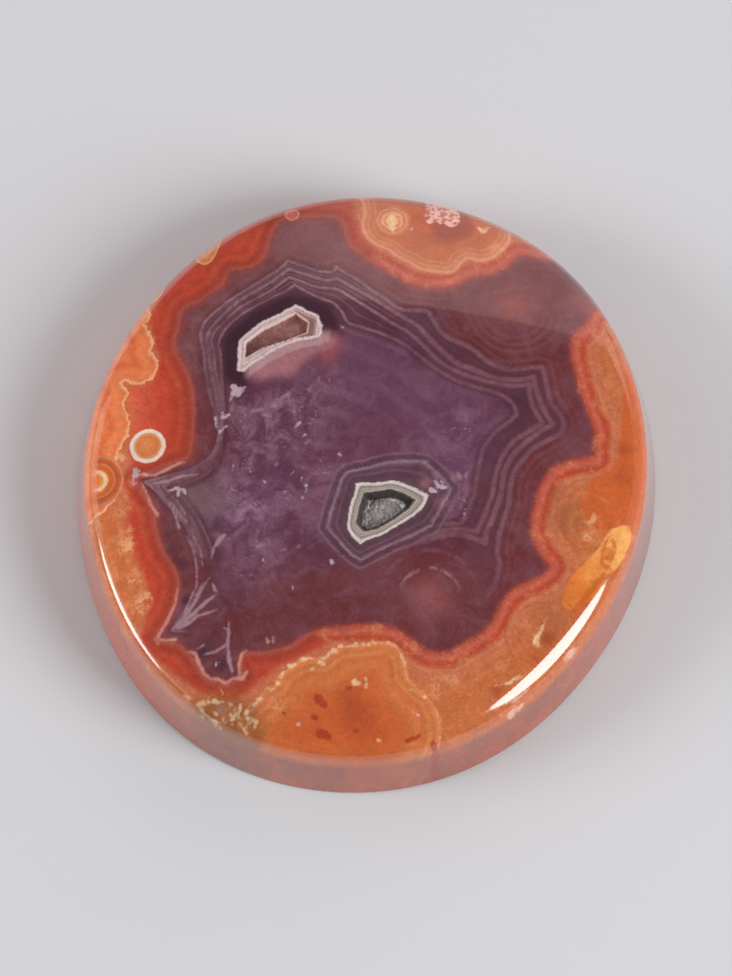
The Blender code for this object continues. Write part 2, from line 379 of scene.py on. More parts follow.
# Each sway: its size for a millimetre down, its number of waves round the stone, its start, and its turn for
# a millimetre down.
SWAYS = ((0.34, 3, 0.7, 0), (0.24, 9, 0, 0.8))
plan = stone_points[:, :2] / MM
below = np.maximum(LEAN_FROM - stone_points[:, 2] / MM, 0)
turn = np.arctan2(plan[:, 1], plan[:, 0])
far_share = (0.5 + 0.5 * np.sin(turn)) ** 2 * np.minimum(np.hypot(*plan.T) / SWAY_REACH, 1) ** 2
waves = sum(share * np.sin(count * turn + start + twist * below) for share, count, start, twist in SWAYS)
sway = below * far_share * waves
round_way = np.stack([-np.sin(turn), np.cos(turn)], axis=-1)
plan = plan + below[:, None] * np.array(LEAN) + sway[:, None] * round_way

# Where the red rim ends and the purple heart begins.
RED_EDGE = [
    (-9.5, 6.7), (-9.3, 7.5), (-9.15, 8.2), (-8.85, 8.5), (-8.3, 8.7), (-7.85, 9.1), (-7.3, 9.5),
    (-7.0, 9.9), (-6.8, 10.4), (-6.15, 10.45), (-5.6, 10.6), (-5.1, 11.1), (-4.8, 11.9), (-4.6, 12.6),
    (-4.35, 13.1), (-3.85, 13.35), (-2.7, 13.35), (-1.9, 13.35), (-1.4, 13.15), (-1.23, 12.8), (-1.1, 12.15),
    (-0.85, 11.6), (-0.4, 11.15), (0.25, 10.7), (0.85, 10.3), (1.55, 9.85), (2.2, 9.45), (2.9, 9.3),
    (3.7, 9.27), (4.3, 9.35), (4.9, 9.7), (5.4, 10.0), (6.3, 10.15), (7.1, 10.6), (7.5, 11.1), (7.8, 11.35),
    (8.6, 11.25), (9.3, 11.25), (9.7, 11.6), (10.2, 12.4), (10.9, 13.0), (12.4, 12.0), (13.0, 10.6),
    (12.2, 9.6), (11.6, 8.8), (11.1, 8.0), (10.9, 7.6), (10.3, 6.9), (10.2, 6.2), (10.25, 5.3), (10.46, 4.5),
    (10.6, 3.8), (10.85, 3.1), (11.15, 2.4), (11.35, 1.7), (11.27, 1.0), (11.3, 0.46), (11.3, 0.46),
    (10.8, 0.35), (10.15, 0.15), (9.6, -0.1), (9.15, -0.45), (8.8, -0.9), (8.5, -1.55), (8.3, -2.3),
    (8.1, -3.0), (8.15, -3.8), (8.35, -4.45), (8.65, -4.95), (9.05, -5.35), (9.05, -5.35), (8.7, -5.75),
    (8.1, -6.1), (7.5, -6.4), (6.9, -6.9), (6.55, -7.45), (6.3, -8.0), (6.05, -8.5), (5.45, -9.0),
    (4.8, -9.4), (4.1, -9.85), (4.1, -9.85), (3.3, -9.9), (2.7, -9.65), (2.1, -9.15), (1.5, -8.8),
    (0.8, -8.65), (0.0, -8.6), (-1.0, -8.65), (-2.0, -8.75), (-2.7, -8.95), (-3.4, -9.35), (-4.0, -9.65),
    (-4.5, -9.75), (-5.2, -9.85), (-5.9, -9.85), (-6.25, -10.1), (-6.3, -10.6), (-6.2, -11.15),
    (-6.55, -11.2), (-6.9, -11.4), (-7.3, -11.2), (-7.7, -11.15), (-8.1, -10.7), (-8.45, -10.05),
    (-8.75, -9.7), (-9.2, -9.3), (-9.6, -9.2), (-10.3, -9.0), (-10.3, -9.0), (-9.9, -8.4), (-9.55, -7.8),
    (-9.3, -7.1), (-9.15, -6.4), (-9.25, -5.75), (-9.6, -5.1), (-10.0, -4.5), (-10.17, -3.9),
    (-10.33, -3.25), (-10.38, -2.7), (-10.7, -2.0), (-11.0, -1.4), (-11.3, -0.78), (-11.3, -0.78),
    (-10.7, -0.6), (-10.1, -0.4), (-9.5, -0.15), (-8.9, 0.0), (-8.65, 0.45), (-8.54, 1.2), (-8.46, 2.15),
    (-8.46, 3.0), (-8.58, 3.85), (-8.7, 4.45), (-8.9, 5.0), (-9.15, 5.6), (-9.4, 6.15)]
# The outermost fine line of the heart.
OUTER_LINE = [
    (-7.3, 1.4), (-7.3, 1.4), (-7.54, 2.46), (-7.77, 3.4), (-7.92, 4.3), (-8.08, 5.15), (-8.15, 5.95),
    (-8.3, 6.85), (-8.08, 7.6), (-7.4, 8.3), (-6.7, 8.85), (-5.9, 9.4), (-5.15, 9.9), (-4.4, 10.4),
    (-3.95, 10.9), (-3.95, 10.9), (-3.1, 10.55), (-2.6, 10.3), (-2.15, 10.23), (-1.73, 10.19), (-1.5, 10.5),
    (-1.5, 10.5), (-1.0, 10.1), (-0.4, 9.7), (0.23, 9.15), (0.85, 8.7), (1.4, 8.23), (1.9, 8.0), (2.7, 8.0),
    (3.15, 7.92), (3.15, 7.92), (3.4, 7.4), (3.7, 6.9), (4.15, 6.46), (5.0, 6.08), (5.54, 5.7), (6.08, 5.23),
    (6.7, 4.92), (7.3, 4.85), (8.08, 5.0), (8.77, 5.08), (8.77, 5.08), (8.88, 4.85), (9.0, 4.0), (9.23, 3.15),
    (9.7, 2.54), (9.88, 2.0), (9.88, 2.0), (9.7, 1.54), (9.0, 1.08), (8.3, 0.62), (7.77, 0.0), (7.38, -0.62),
    (7.15, -1.4), (7.08, -2.3), (6.85, -3.1), (6.6, -3.9), (6.5, -4.8), (6.6, -5.4), (6.4, -6.3), (5.9, -7.2),
    (5.4, -8.2), (4.8, -8.7), (4.0, -9.0), (3.0, -8.8), (2.2, -8.3), (1.2, -7.95), (0.0, -7.8), (-1.5, -7.85),
    (-2.6, -8.1), (-4.0, -8.6), (-5.2, -8.9), (-6.3, -9.1), (-7.6, -8.95), (-9.0, -8.75), (-9.6, -8.65),
    (-9.6, -8.65), (-9.1, -7.9), (-8.8, -7.4), (-8.4, -6.5), (-8.2, -5.7), (-8.3, -5.0), (-8.6, -4.2),
    (-8.95, -3.4), (-9.4, -2.8), (-10.0, -2.0), (-10.6, -1.3), (-11.0, -0.95), (-11.0, -0.95), (-9.9, -0.72),
    (-8.9, -0.5), (-8.1, -0.1), (-7.5, 0.6)]
# The pale hexagon line round the middle hollow, and the cream ring at its mouth.
HEXAGON = [
    (-1.95, -3.7), (-1.95, -3.7), (-1.6, -2.4), (-1.2, -1.2), (-1.2, -1.2), (-0.9, -0.85), (0.0, -0.65),
    (1.0, -0.35), (2.4, -0.25), (2.9, -0.3), (2.9, -0.3), (3.7, -1.0), (4.2, -1.7), (4.2, -1.7), (3.2, -3.6),
    (3.2, -3.6), (2.3, -4.1), (1.4, -4.5), (0.5, -4.95), (-0.3, -5.4), (-0.3, -5.4), (-1.0, -4.85)]
CREAM_RING = [
    (-0.45, -1.44), (0.47, -1.46), (1.22, -1.35), (1.87, -1.49), (2.57, -1.81), (3.02, -2.01), (3.02, -2.01),
    (2.83, -2.58), (2.30, -3.10), (1.43, -3.67), (0.79, -4.07), (0.03, -4.36), (-0.29, -4.59), (-0.29, -4.59),
    (-0.77, -4.07), (-0.93, -3.73), (-0.93, -3.73), (-0.82, -2.81), (-0.50, -1.78)]
UPPER_RIM = [
    (-6.35, 6.35), (-6.2, 6.57), (-5.29, 7.38), (-4.48, 7.76), (-3.54, 8.32), (-2.45, 7.70), (-2.25, 7.16),
    (-2.27, 6.52), (-2.65, 6.43), (-3.46, 6.30), (-4.17, 6.03), (-4.78, 5.71), (-5.89, 4.95), (-6.15, 4.74),
    (-6.4, 4.79)]
# The deep red ground along the left side, and the orange ground with a scalloped cream edge beside it.
EMBER_GROUND = [
    (-6.0, 9.0), (-3.0, 12.0), (-1.6, 12.2), (-0.7, 11.0), (0.4, 10.6), (0.2, 11.6), (-0.4, 12.6),
    (-0.6, 14.0), (-0.8, 16.5), (-6.0, 16.5), (-10.0, 13.5), (-11.0, 11.0), (-10.6, 8.7), (-10.9, 7.9),
    (-10.6, 6.6), (-10.4, 5.4), (-10.9, 4.3), (-11.8, 4.2), (-11.8, 2.6), (-11.7, 0.2), (-11.6, -1.2),
    (-11.8, -2.4), (-11.9, -3.6), (-11.4, -5.0), (-10.9, -6.3), (-10.8, -7.5), (-11.1, -8.7), (-11.1, -9.5),
    (-10.0, -10.4), (-9.0, -11.2), (-8.0, -11.8), (-6.8, -11.9), (-5.6, -11.6), (-4.6, -10.9), (-3.4, -10.1),
    (-2.0, -9.6), (-4.0, -8.0), (-7.0, -8.0), (-8.0, -4.0), (-8.0, 0.0), (-7.5, 4.0), (-8.0, 8.0)]
SCALLOPED_GROUND = [
    (-10.6, 10.4), (-11.0, 8.9), (-10.85, 8.3), (-11.15, 7.75), (-10.9, 7.2), (-10.7, 6.6), (-10.85, 6.15),
    (-10.85, 6.15), (-10.55, 5.7), (-10.45, 5.2), (-10.7, 4.7), (-11.1, 4.4), (-11.6, 4.4), (-12.0, 4.6),
    (-12.3, 4.5), (-12.3, 4.5), (-11.95, 3.9), (-12.1, 3.3), (-11.85, 2.3), (-12.0, 1.5), (-12.4, 0.7),
    (-12.5, -0.9), (-12.9, -2.2), (-16.0, -3.0), (-16.0, 6.0), (-14.0, 10.0)]
# Lobes with a cream edge: at the far end, and at the near end.
FAR_LOBE = [
    (-0.15, 14.4), (-0.08, 13.7), (-0.19, 13.15), (-0.12, 12.6), (0.15, 12.1), (0.62, 11.7), (1.0, 11.55),
    (1.3, 11.3), (1.7, 11.0), (2.3, 10.7), (2.7, 10.4), (3.3, 10.27), (4.15, 10.2), (4.54, 10.46),
    (4.77, 10.85), (5.15, 11.08), (5.77, 11.0), (6.38, 11.2), (6.9, 11.7), (7.23, 12.3), (7.38, 12.85),
    (7.3, 13.5), (7.0, 15.5), (2.0, 17.0), (-0.3, 16.0)]
NEAR_LOBE = [
    (-6.1, -13.2), (-5.7, -12.7), (-5.2, -12.15), (-4.9, -11.75), (-4.35, -11.5), (-4.15, -11.05),
    (-3.7, -10.7), (-3.2, -10.4), (-2.6, -10.3), (-2.1, -10.35), (-1.6, -9.95), (-1.2, -9.75), (-0.6, -9.65),
    (0.1, -9.55), (0.7, -9.5), (1.3, -9.6), (1.7, -10.0), (1.9, -10.5), (2.0, -11.1), (2.4, -11.6),
    (3.0, -12.1), (3.4, -12.8), (3.6, -13.5), (3.4, -15.0), (1.0, -17.0), (-5.0, -16.0), (-6.2, -14.0)]
# Patches in the orange ground: a bright yellow-orange one near the right edge, which is painted light, a glow
# shining through the stone, and patches of other colours.
PAINTED_GLOW_PATCH = [
    (12.1, -3.3), (12.1, -3.3), (11.54, -4.23), (10.92, -5.0), (10.15, -5.85), (9.92, -6.38), (9.69, -7.3),
    (10.3, -7.5), (11.0, -7.0), (11.8, -6.1), (12.45, -5.25), (12.9, -4.5), (13.2, -3.6), (13.0, -3.0)]
OLIVE_PATCH = [
    (-8.3, -12.2), (-7.4, -11.9), (-6.4, -11.9), (-5.7, -12.4), (-5.1, -13.2), (-5.0, -14.2), (-5.9, -14.8),
    (-7.6, -14.2), (-8.6, -13.0)]
SUGARY_PATCH = [
    (3.1, 13.1), (3.1, 14.0), (3.3, 14.9), (4.1, 15.0), (4.8, 14.7), (4.9, 13.9), (4.7, 13.2), (4.2, 12.95),
    (3.6, 13.2)]
# The brighter orange beyond a line across the right lobe, and two pale scales at the far left edge.
BRIGHT_SIDE = [
    (12.2, -0.05), (11.6, -0.35), (11.1, -1.0), (10.85, -1.7), (10.6, -2.4), (11.5, -3.4), (12.1, -3.3),
    (13.2, -3.0), (15.5, -2.5), (15.5, 7.0), (13.4, 6.4), (12.9, 4.4), (12.7, 2.4), (12.6, 0.8)]
EDGE_PATCHES = [
    [(-8.0, 10.95), (-8.6, 11.1), (-8.9, 11.6), (-8.75, 12.2), (-8.5, 12.9), (-7.9, 13.8), (-7.2, 14.0),
     (-7.4, 12.9), (-7.4, 12.4), (-7.6, 11.5)],
    [(-10.75, 8.95), (-10.9, 9.3), (-10.75, 10.1), (-10.9, 10.6), (-10.6, 11.4), (-10.1, 11.4), (-10.2, 10.2),
     (-10.3, 9.5)]]
DARK_PATCHES = [
    [(3.2, 13.0), (3.4, 12.4), (4.2, 12.0), (5.0, 12.1), (5.5, 12.7), (5.3, 13.6), (5.1, 14.8), (3.0, 14.8)]]
# The three fine lines inside the outermost one, close to it at the left, the far side and the right.
SECOND_LINE = [
    (-7.25, 1.65), (-7.25, 1.65), (-7.42, 3.0), (-7.6, 4.0), (-7.8, 5.0), (-7.87, 5.8), (-7.98, 6.5),
    (-7.85, 7.1), (-7.5, 7.6), (-7.0, 8.15), (-6.3, 8.75), (-5.5, 9.25), (-4.8, 9.7), (-4.2, 10.15),
    (-3.9, 10.42), (-3.9, 10.42), (-3.1, 10.1), (-2.4, 9.83), (-1.9, 9.72), (-1.45, 9.85), (-1.45, 9.85),
    (-1.0, 9.5), (-0.2, 9.0), (0.6, 8.45), (1.3, 7.95), (1.9, 7.55), (2.4, 7.25), (2.9, 6.75), (3.3, 6.25),
    (3.75, 5.8), (4.15, 5.4), (4.6, 5.05), (5.3, 4.8), (6.0, 4.5), (6.7, 4.33), (7.4, 4.3), (8.0, 4.4),
    (8.35, 4.5), (8.35, 4.5), (8.45, 3.9), (8.65, 3.2), (9.0, 2.5), (9.3, 2.0), (9.3, 2.0), (8.6, 1.5),
    (8.0, 1.0), (7.4, 0.4), (7.1, -0.1), (6.85, -0.7), (6.75, -1.4), (6.65, -2.0), (6.4, -2.7), (6.2, -3.3),
    (5.95, -3.8), (5.9, -4.4), (5.9, -4.4), (5.2, -4.15), (4.5, -4.02), (3.6, -4.15), (3.0, -4.38),
    (2.2, -4.65), (1.4, -5.0), (0.4, -5.75), (-0.5, -6.3), (-1.6, -6.7), (-3.0, -7.1), (-4.2, -7.5),
    (-5.4, -7.9), (-6.6, -8.1), (-7.8, -8.2), (-9.35, -8.5), (-9.35, -8.5), (-8.95, -7.85), (-8.6, -7.3),
    (-8.2, -6.5), (-8.0, -5.7), (-8.1, -5.0), (-8.4, -4.2), (-8.8, -3.3), (-9.3, -2.6), (-9.9, -1.9),
    (-10.5, -1.1), (-10.5, -1.1), (-9.7, -0.88), (-8.8, -0.68), (-8.05, -0.3), (-7.5, 0.5)]
THIRD_LINE = [
    (-7.2, 1.8), (-7.2, 1.8), (-7.25, 3.2), (-7.42, 4.2), (-7.57, 5.0), (-7.62, 5.8), (-7.75, 6.5),
    (-7.6, 7.0), (-7.2, 7.45), (-6.8, 7.9), (-6.2, 8.4), (-5.35, 8.9), (-4.6, 9.35), (-3.9, 9.95),
    (-3.9, 9.95), (-3.1, 9.6), (-2.4, 9.32), (-1.5, 9.2), (-0.8, 8.75), (-0.1, 8.25), (0.6, 7.75),
    (1.2, 7.3), (1.8, 6.95), (2.5, 6.4), (3.1, 5.75), (3.6, 5.2), (4.3, 4.75), (5.1, 4.42), (6.0, 4.15),
    (7.0, 3.98), (7.7, 4.0), (8.12, 4.1), (8.12, 4.1), (8.15, 3.5), (8.4, 2.7), (8.8, 2.05), (8.8, 2.05),
    (8.2, 1.6), (7.5, 1.1), (7.05, 0.6), (6.75, 0.1), (6.5, -0.6), (6.35, -1.2), (6.25, -1.9), (6.0, -2.6),
    (5.75, -3.2), (5.5, -3.85), (5.5, -3.85), (4.7, -3.75), (3.7, -3.85), (2.9, -4.1), (2.2, -4.4),
    (1.4, -4.75), (0.5, -5.3), (-0.3, -5.95), (-0.3, -5.95), (-1.4, -6.2), (-2.8, -6.7), (-4.2, -7.1),
    (-6.0, -7.4), (-7.6, -7.7), (-8.6, -7.9), (-8.6, -7.9), (-8.2, -7.2), (-7.9, -6.4), (-7.8, -5.7),
    (-7.9, -5.0), (-8.2, -4.2), (-8.6, -3.2), (-9.1, -2.5), (-9.6, -1.9), (-10.1, -1.2), (-10.1, -1.2),
    (-9.3, -1.0), (-8.5, -0.8), (-7.9, -0.4), (-7.4, 0.4)]
INNER_LINE = [
    (-7.12, 2.0), (-7.12, 2.0), (-7.1, 3.0), (-7.2, 4.0), (-7.25, 5.0), (-7.3, 5.8), (-7.4, 6.3),
    (-7.2, 6.9), (-6.85, 7.4), (-6.15, 8.0), (-5.3, 8.5), (-4.5, 8.95), (-4.0, 9.15), (-3.6, 9.5),
    (-3.6, 9.5), (-3.0, 9.08), (-2.2, 8.65), (-1.65, 8.4), (-1.2, 7.85), (-0.95, 7.3), (-0.2, 7.0),
    (0.9, 6.6), (2.0, 6.0), (2.9, 5.2), (3.8, 4.5), (4.8, 4.0), (5.8, 3.7), (6.6, 3.5), (7.3, 3.0),
    (7.5, 2.4), (7.5, 2.4), (7.0, 1.9), (6.5, 1.5), (6.1, 1.0), (5.8, 0.5), (5.65, -0.1), (5.5, -0.8),
    (5.4, -1.4), (5.3, -2.0), (5.0, -2.8), (4.7, -3.4), (3.7, -3.5), (2.9, -3.8), (2.2, -4.15), (1.4, -4.55),
    (0.5, -5.0), (-0.3, -5.5), (-0.3, -5.5), (-1.3, -5.0), (-2.0, -4.3), (-3.4, -5.2), (-4.2, -5.7),
    (-4.15, -6.2), (-4.3, -6.65), (-5.0, -6.85), (-6.0, -7.05), (-7.0, -7.0), (-7.5, -6.2), (-7.55, -5.4),
    (-7.7, -4.6), (-8.0, -3.8), (-8.5, -2.8), (-9.0, -2.1), (-9.5, -1.3), (-9.5, -1.3), (-8.6, -1.05),
    (-7.9, -0.7), (-7.3, 0.1), (-7.2, 0.9)]
# Where the fine lines fade out.
FAINT_LINES = [(0.0, -8.0, 3.2, 1.0), (-4.0, -7.2, 2.6, 1.1), (-7.5, -8.8, 2.0, 1.0), (4.2, -7.4, 2.8, 1.1),
               (-8.2, -6.0, 1.4, 0.9), (-9.0, -1.8, 1.3, 0.55), (-1.5, -5.8, 1.6, 0.8), (1.2, -6.2, 1.5, 0.7)]


def keep_field(name, values):
    """Keeps one number for each of the stone's points, for its material to read."""
    field = stone_mesh.attributes.new(name, "FLOAT", "POINT")
    field.data.foreach_set("value", values.astype(np.float32))


def between(depths):
    """A running number over nested curves.

    It is i on curve i, and i + outer / (outer - inner) towards the next one, by the depths inside the two.
    """
    running = depths[0]
    for step, (outer, inner) in enumerate(zip(depths, depths[1:])):
        part = outer / np.maximum(outer - inner, 1e-3)
        running = np.where(outer > 0, step + np.clip(part, 0, 1), running)
    last = depths[-1]
    return np.where(last > 0, len(depths) - 1 + last, running)


def strokes(marks):
    """Marks, each (x, y, width, x, y, width) from end to end: half the width there minus the distance."""
    best = np.full(len(plan), -np.inf)
    for x0, y0, width0, x1, y1, width1 in marks:
        run = np.array((x1 - x0, y1 - y0))
        start = np.array((x0, y0))
        share = np.clip((plan - start) @ run / max(run @ run, 1e-9), 0, 1)
        gap = np.linalg.norm(plan - start - share[:, None] * run, axis=1)
        best = np.maximum(best, (width0 + share * (width1 - width0)) / 2 - gap)
    return best


def soft_patches(patches):
    """A sum of soft round patches, each (x, y, reach, amount): amount * exp(-(distance / reach) squared)."""
    total = np.zeros(len(plan))
    for x, y, reach, amount in patches:
        total += amount * np.exp(-((plan[:, 0] - x) ** 2 + (plan[:, 1] - y) ** 2) / reach ** 2)
    return total


keep_field("height", stone_points[:, 2] / MM)
keep_field("red_edge", depth_within(plan, RED_EDGE))
for name, outline in (
        ("line_1", OUTER_LINE), ("line_2", SECOND_LINE), ("line_3", THIRD_LINE), ("line_4", INNER_LINE),
        ("ember", EMBER_GROUND), ("scalloped", SCALLOPED_GROUND), ("far_lobe", FAR_LOBE),
        ("near_lobe", NEAR_LOBE), ("painted_glow", PAINTED_GLOW_PATCH), ("bright_side", BRIGHT_SIDE),
        ("olive", OLIVE_PATCH), ("sugary", SUGARY_PATCH)):
    keep_field(name, depth_within(plan, outline))
keep_field("faint_lines", soft_patches(FAINT_LINES))
mouth_depth = depth_within(plan, MIDDLE_MOUTH, smooth=False)
ring_depths = [depth_within(plan, HEXAGON), depth_within(plan, CREAM_RING), mouth_depth]
keep_field("middle_rings", between(ring_depths))
keep_field("upper_rim", depth_within(plan, UPPER_RIM, smooth=False))
keep_field("edge_patches", np.max([depth_within(plan, patch) for patch in EDGE_PATCHES], axis=0))
keep_field("dark", np.max([depth_within(plan, patch) for patch in DARK_PATCHES], axis=0))
# Broad soft clouds of colour in the heart, each list one colour.
keep_field("violet", soft_patches([
    (3.5, 3.0, 3.2, 0.8), (4.8, 0.8, 1.8, 1.0), (0.2, 4.4, 2.2, 0.7), (-5.6, -3.2, 1.8, 0.6),
    (-6.6, -2.2, 1.2, 0.4), (-3.2, 2.4, 2.6, 0.45), (-4.6, -1.0, 2.4, 0.4), (2.4, 6.8, 1.2, 0.6),
    (-0.6, 5.6, 1.0, 0.6)]))
keep_field("rosy", soft_patches([
    (0.8, 1.0, 1.9, 0.9), (-2.0, -1.5, 2.4, 0.5), (-4.6, 3.4, 1.2, 0.5), (-0.8, -5.0, 2.0, 0.3)]))
keep_field("maroon", soft_patches([
    (-1.0, -7.6, 2.4, 0.8), (-4.5, -8.0, 2.4, 0.9), (3.4, -6.6, 2.8, 0.9), (6.6, -6.0, 1.8, 0.9),
    (5.6, 6.9, 1.6, 1.1), (7.6, 6.6, 1.8, 1.1), (7.5, 8.8, 2.4, 0.9), (10.1, 3.0, 1.4, 1.0),
    (10.1, 1.2, 1.2, 1.0), (8.6, -1.2, 1.4, 0.9), (7.9, -3.6, 1.2, 0.8), (-9.6, -4.5, 1.2, 0.9),
    (-8.3, -8.9, 1.2, 0.8), (10.0, 8.0, 2.0, 0.8), (-8.6, 4.0, 0.8, 0.9), (-8.9, -6.6, 0.8, 0.9),
    (-6.8, -9.6, 1.2, 0.8), (4.4, -8.7, 1.8, 1.0), (7.4, -5.6, 1.3, 1.0), (7.6, -2.0, 0.9, 0.8),
    (6.0, -7.6, 1.2, 0.9), (-8.2, 2.2, 1.0, 0.8), (1.0, -6.2, 1.5, 0.5), (6.5, -2.2, 1.1, 0.9),
    (5.2, -4.6, 1.0, 0.7), (-7.9, -10.3, 1.6, 0.7), (-3.0, 12.0, 1.8, 0.5), (9.6, 5.0, 1.0, 0.8)]))
keep_field("blush", soft_patches([
    (-5.0, 5.2, 0.75, 0.9), (-4.1, 5.5, 0.8, 0.9), (-3.1, 5.8, 0.7, 0.8), (-2.2, 6.1, 0.65, 0.7),
    (-5.4, 4.5, 0.6, 0.6), (-1.7, 6.2, 0.5, 0.6), (-3.9, 4.7, 0.8, 0.5), (2.9, -1.4, 0.55, 0.8),
    (3.8, -2.4, 0.5, 0.7)]))
keep_field("reddish", soft_patches([(-1.75, 6.0, 0.6, 1.0), (-1.9, 5.3, 0.55, 0.7), (-2.0, 6.8, 0.4, 0.4)]))
keep_field("glow", soft_patches([(7.4, 8.4, 1.0, 0.9), (3.2, -7.3, 1.0, 1.1), (11.6, 8.9, 1.0, 1.2)]))
keep_field("grey_wash", soft_patches([
    (-7.1, -12.75, 0.42, 1.0), (-6.2, -14.2, 0.5, 0.4), (-7.2, -13.8, 0.5, 0.3)]))
keep_field("brownish", soft_patches([
    (-3.1, 12.5, 1.7, 1.0), (-1.2, 11.0, 1.0, 0.6), (-4.4, 11.6, 0.9, 0.5), (-8.8, 6.3, 0.8, 0.8),
    (-8.4, 7.6, 0.7, 0.8), (-7.4, 8.8, 0.8, 0.8), (-6.0, 10.0, 0.9, 0.8), (-8.8, 5.0, 0.6, 0.6)]))
keep_field("tan_wash", soft_patches([
    (9.9, -3.0, 1.1, 1.0), (9.6, -1.6, 0.7, 0.6), (9.2, -8.0, 1.1, 0.8), (3.0, 11.4, 1.6, 0.5),
    (5.6, 12.0, 1.0, 0.4)]))
keep_field("grey_cloud", soft_patches([
    (-8.3, -2.2, 1.1, 0.9), (-7.4, -2.0, 1.0, 0.6), (-9.4, -1.4, 0.6, 0.5), (-7.2, -4.2, 0.5, 0.6)]))
keep_field("pale_cloud", soft_patches([
    (-6.3, -2.6, 1.0, 0.6), (-6.0, -3.6, 1.2, 0.6), (-4.6, 1.6, 1.6, 0.6), (-3.2, 3.2, 1.4, 0.6),
    (-2.4, 3.9, 0.8, 0.6), (-5.8, 0.0, 1.2, 0.5), (-5.2, -5.2, 1.4, 0.5), (-2.4, -0.6, 1.4, 0.4),
    (-6.4, 2.4, 0.7, 0.5), (4.2, 1.2, 1.3, 0.45), (-3.4, -2.4, 1.6, 0.35), (-5.5, -3.0, 1.0, 0.4),
    (-5.0, 1.4, 1.1, 0.35), (-6.6, -1.4, 1.0, 0.5), (4.6, -1.6, 0.9, 0.5), (4.6, -3.0, 0.8, 0.4)]))
keep_field("night", soft_patches([
    (1.3, 7.0, 0.6, 0.7), (0.2, 7.5, 0.7, 0.5), (2.7, 5.6, 0.9, 0.6), (7.6, 3.2, 0.8, 0.6),
    (7.4, 1.9, 0.7, 0.4), (-9.2, -5.4, 0.5, 0.5), (-8.9, -7.2, 0.4, 0.6), (-7.6, -9.2, 0.7, 0.4),
    (-7.15, -10.5, 0.5, 0.6), (-8.1, -9.9, 0.4, 0.5), (6.4, -2.6, 0.4, 0.3)]))
keep_field("cream_clouds", soft_patches([
    (-11.9, -4.2, 0.45, 1.0), (-11.8, -3.4, 0.35, 0.5), (-11.5, -5.9, 0.5, 0.7), (-11.2, -7.3, 0.5, 0.9),
    (-12.3, -2.4, 0.4, 0.5), (-10.8, -6.8, 0.3, 0.7), (-12.2, 2.7, 0.3, 0.5), (-12.3, 0.4, 0.35, 0.9),
    (-11.6, -8.6, 0.3, 0.5), (3.4, -11.8, 0.5, 0.6), (4.2, -11.3, 0.6, 0.4), (-4.5, -12.6, 0.7, 0.5),
    (11.1, -2.8, 0.32, 1.3), (11.0, -3.75, 0.28, 1.0), (6.6, 11.8, 0.6, 0.5), (4.2, 10.6, 0.6, 0.5)]))
keep_field("burnt", soft_patches([
    (9.0, -9.0, 0.5, 1.0), (8.4, -10.1, 0.6, 0.7), (9.6, -8.2, 0.6, 0.6), (10.8, -7.2, 0.6, 0.5),
    (6.4, -11.8, 0.45, 1.0), (4.0, 12.5, 0.8, 0.9), (4.8, 13.2, 0.8, 0.9), (2.6, 13.4, 0.6, 0.5),
    (-6.5, -12.0, 0.7, 0.7), (-1.0, -12.2, 1.2, 0.5), (0.0, -13.6, 1.4, 0.6), (-9.2, -10.8, 0.6, 0.5),
    (12.8, 1.0, 0.6, 0.7), (12.7, -0.6, 0.7, 0.6), (10.2, -4.2, 0.6, 0.4)]))

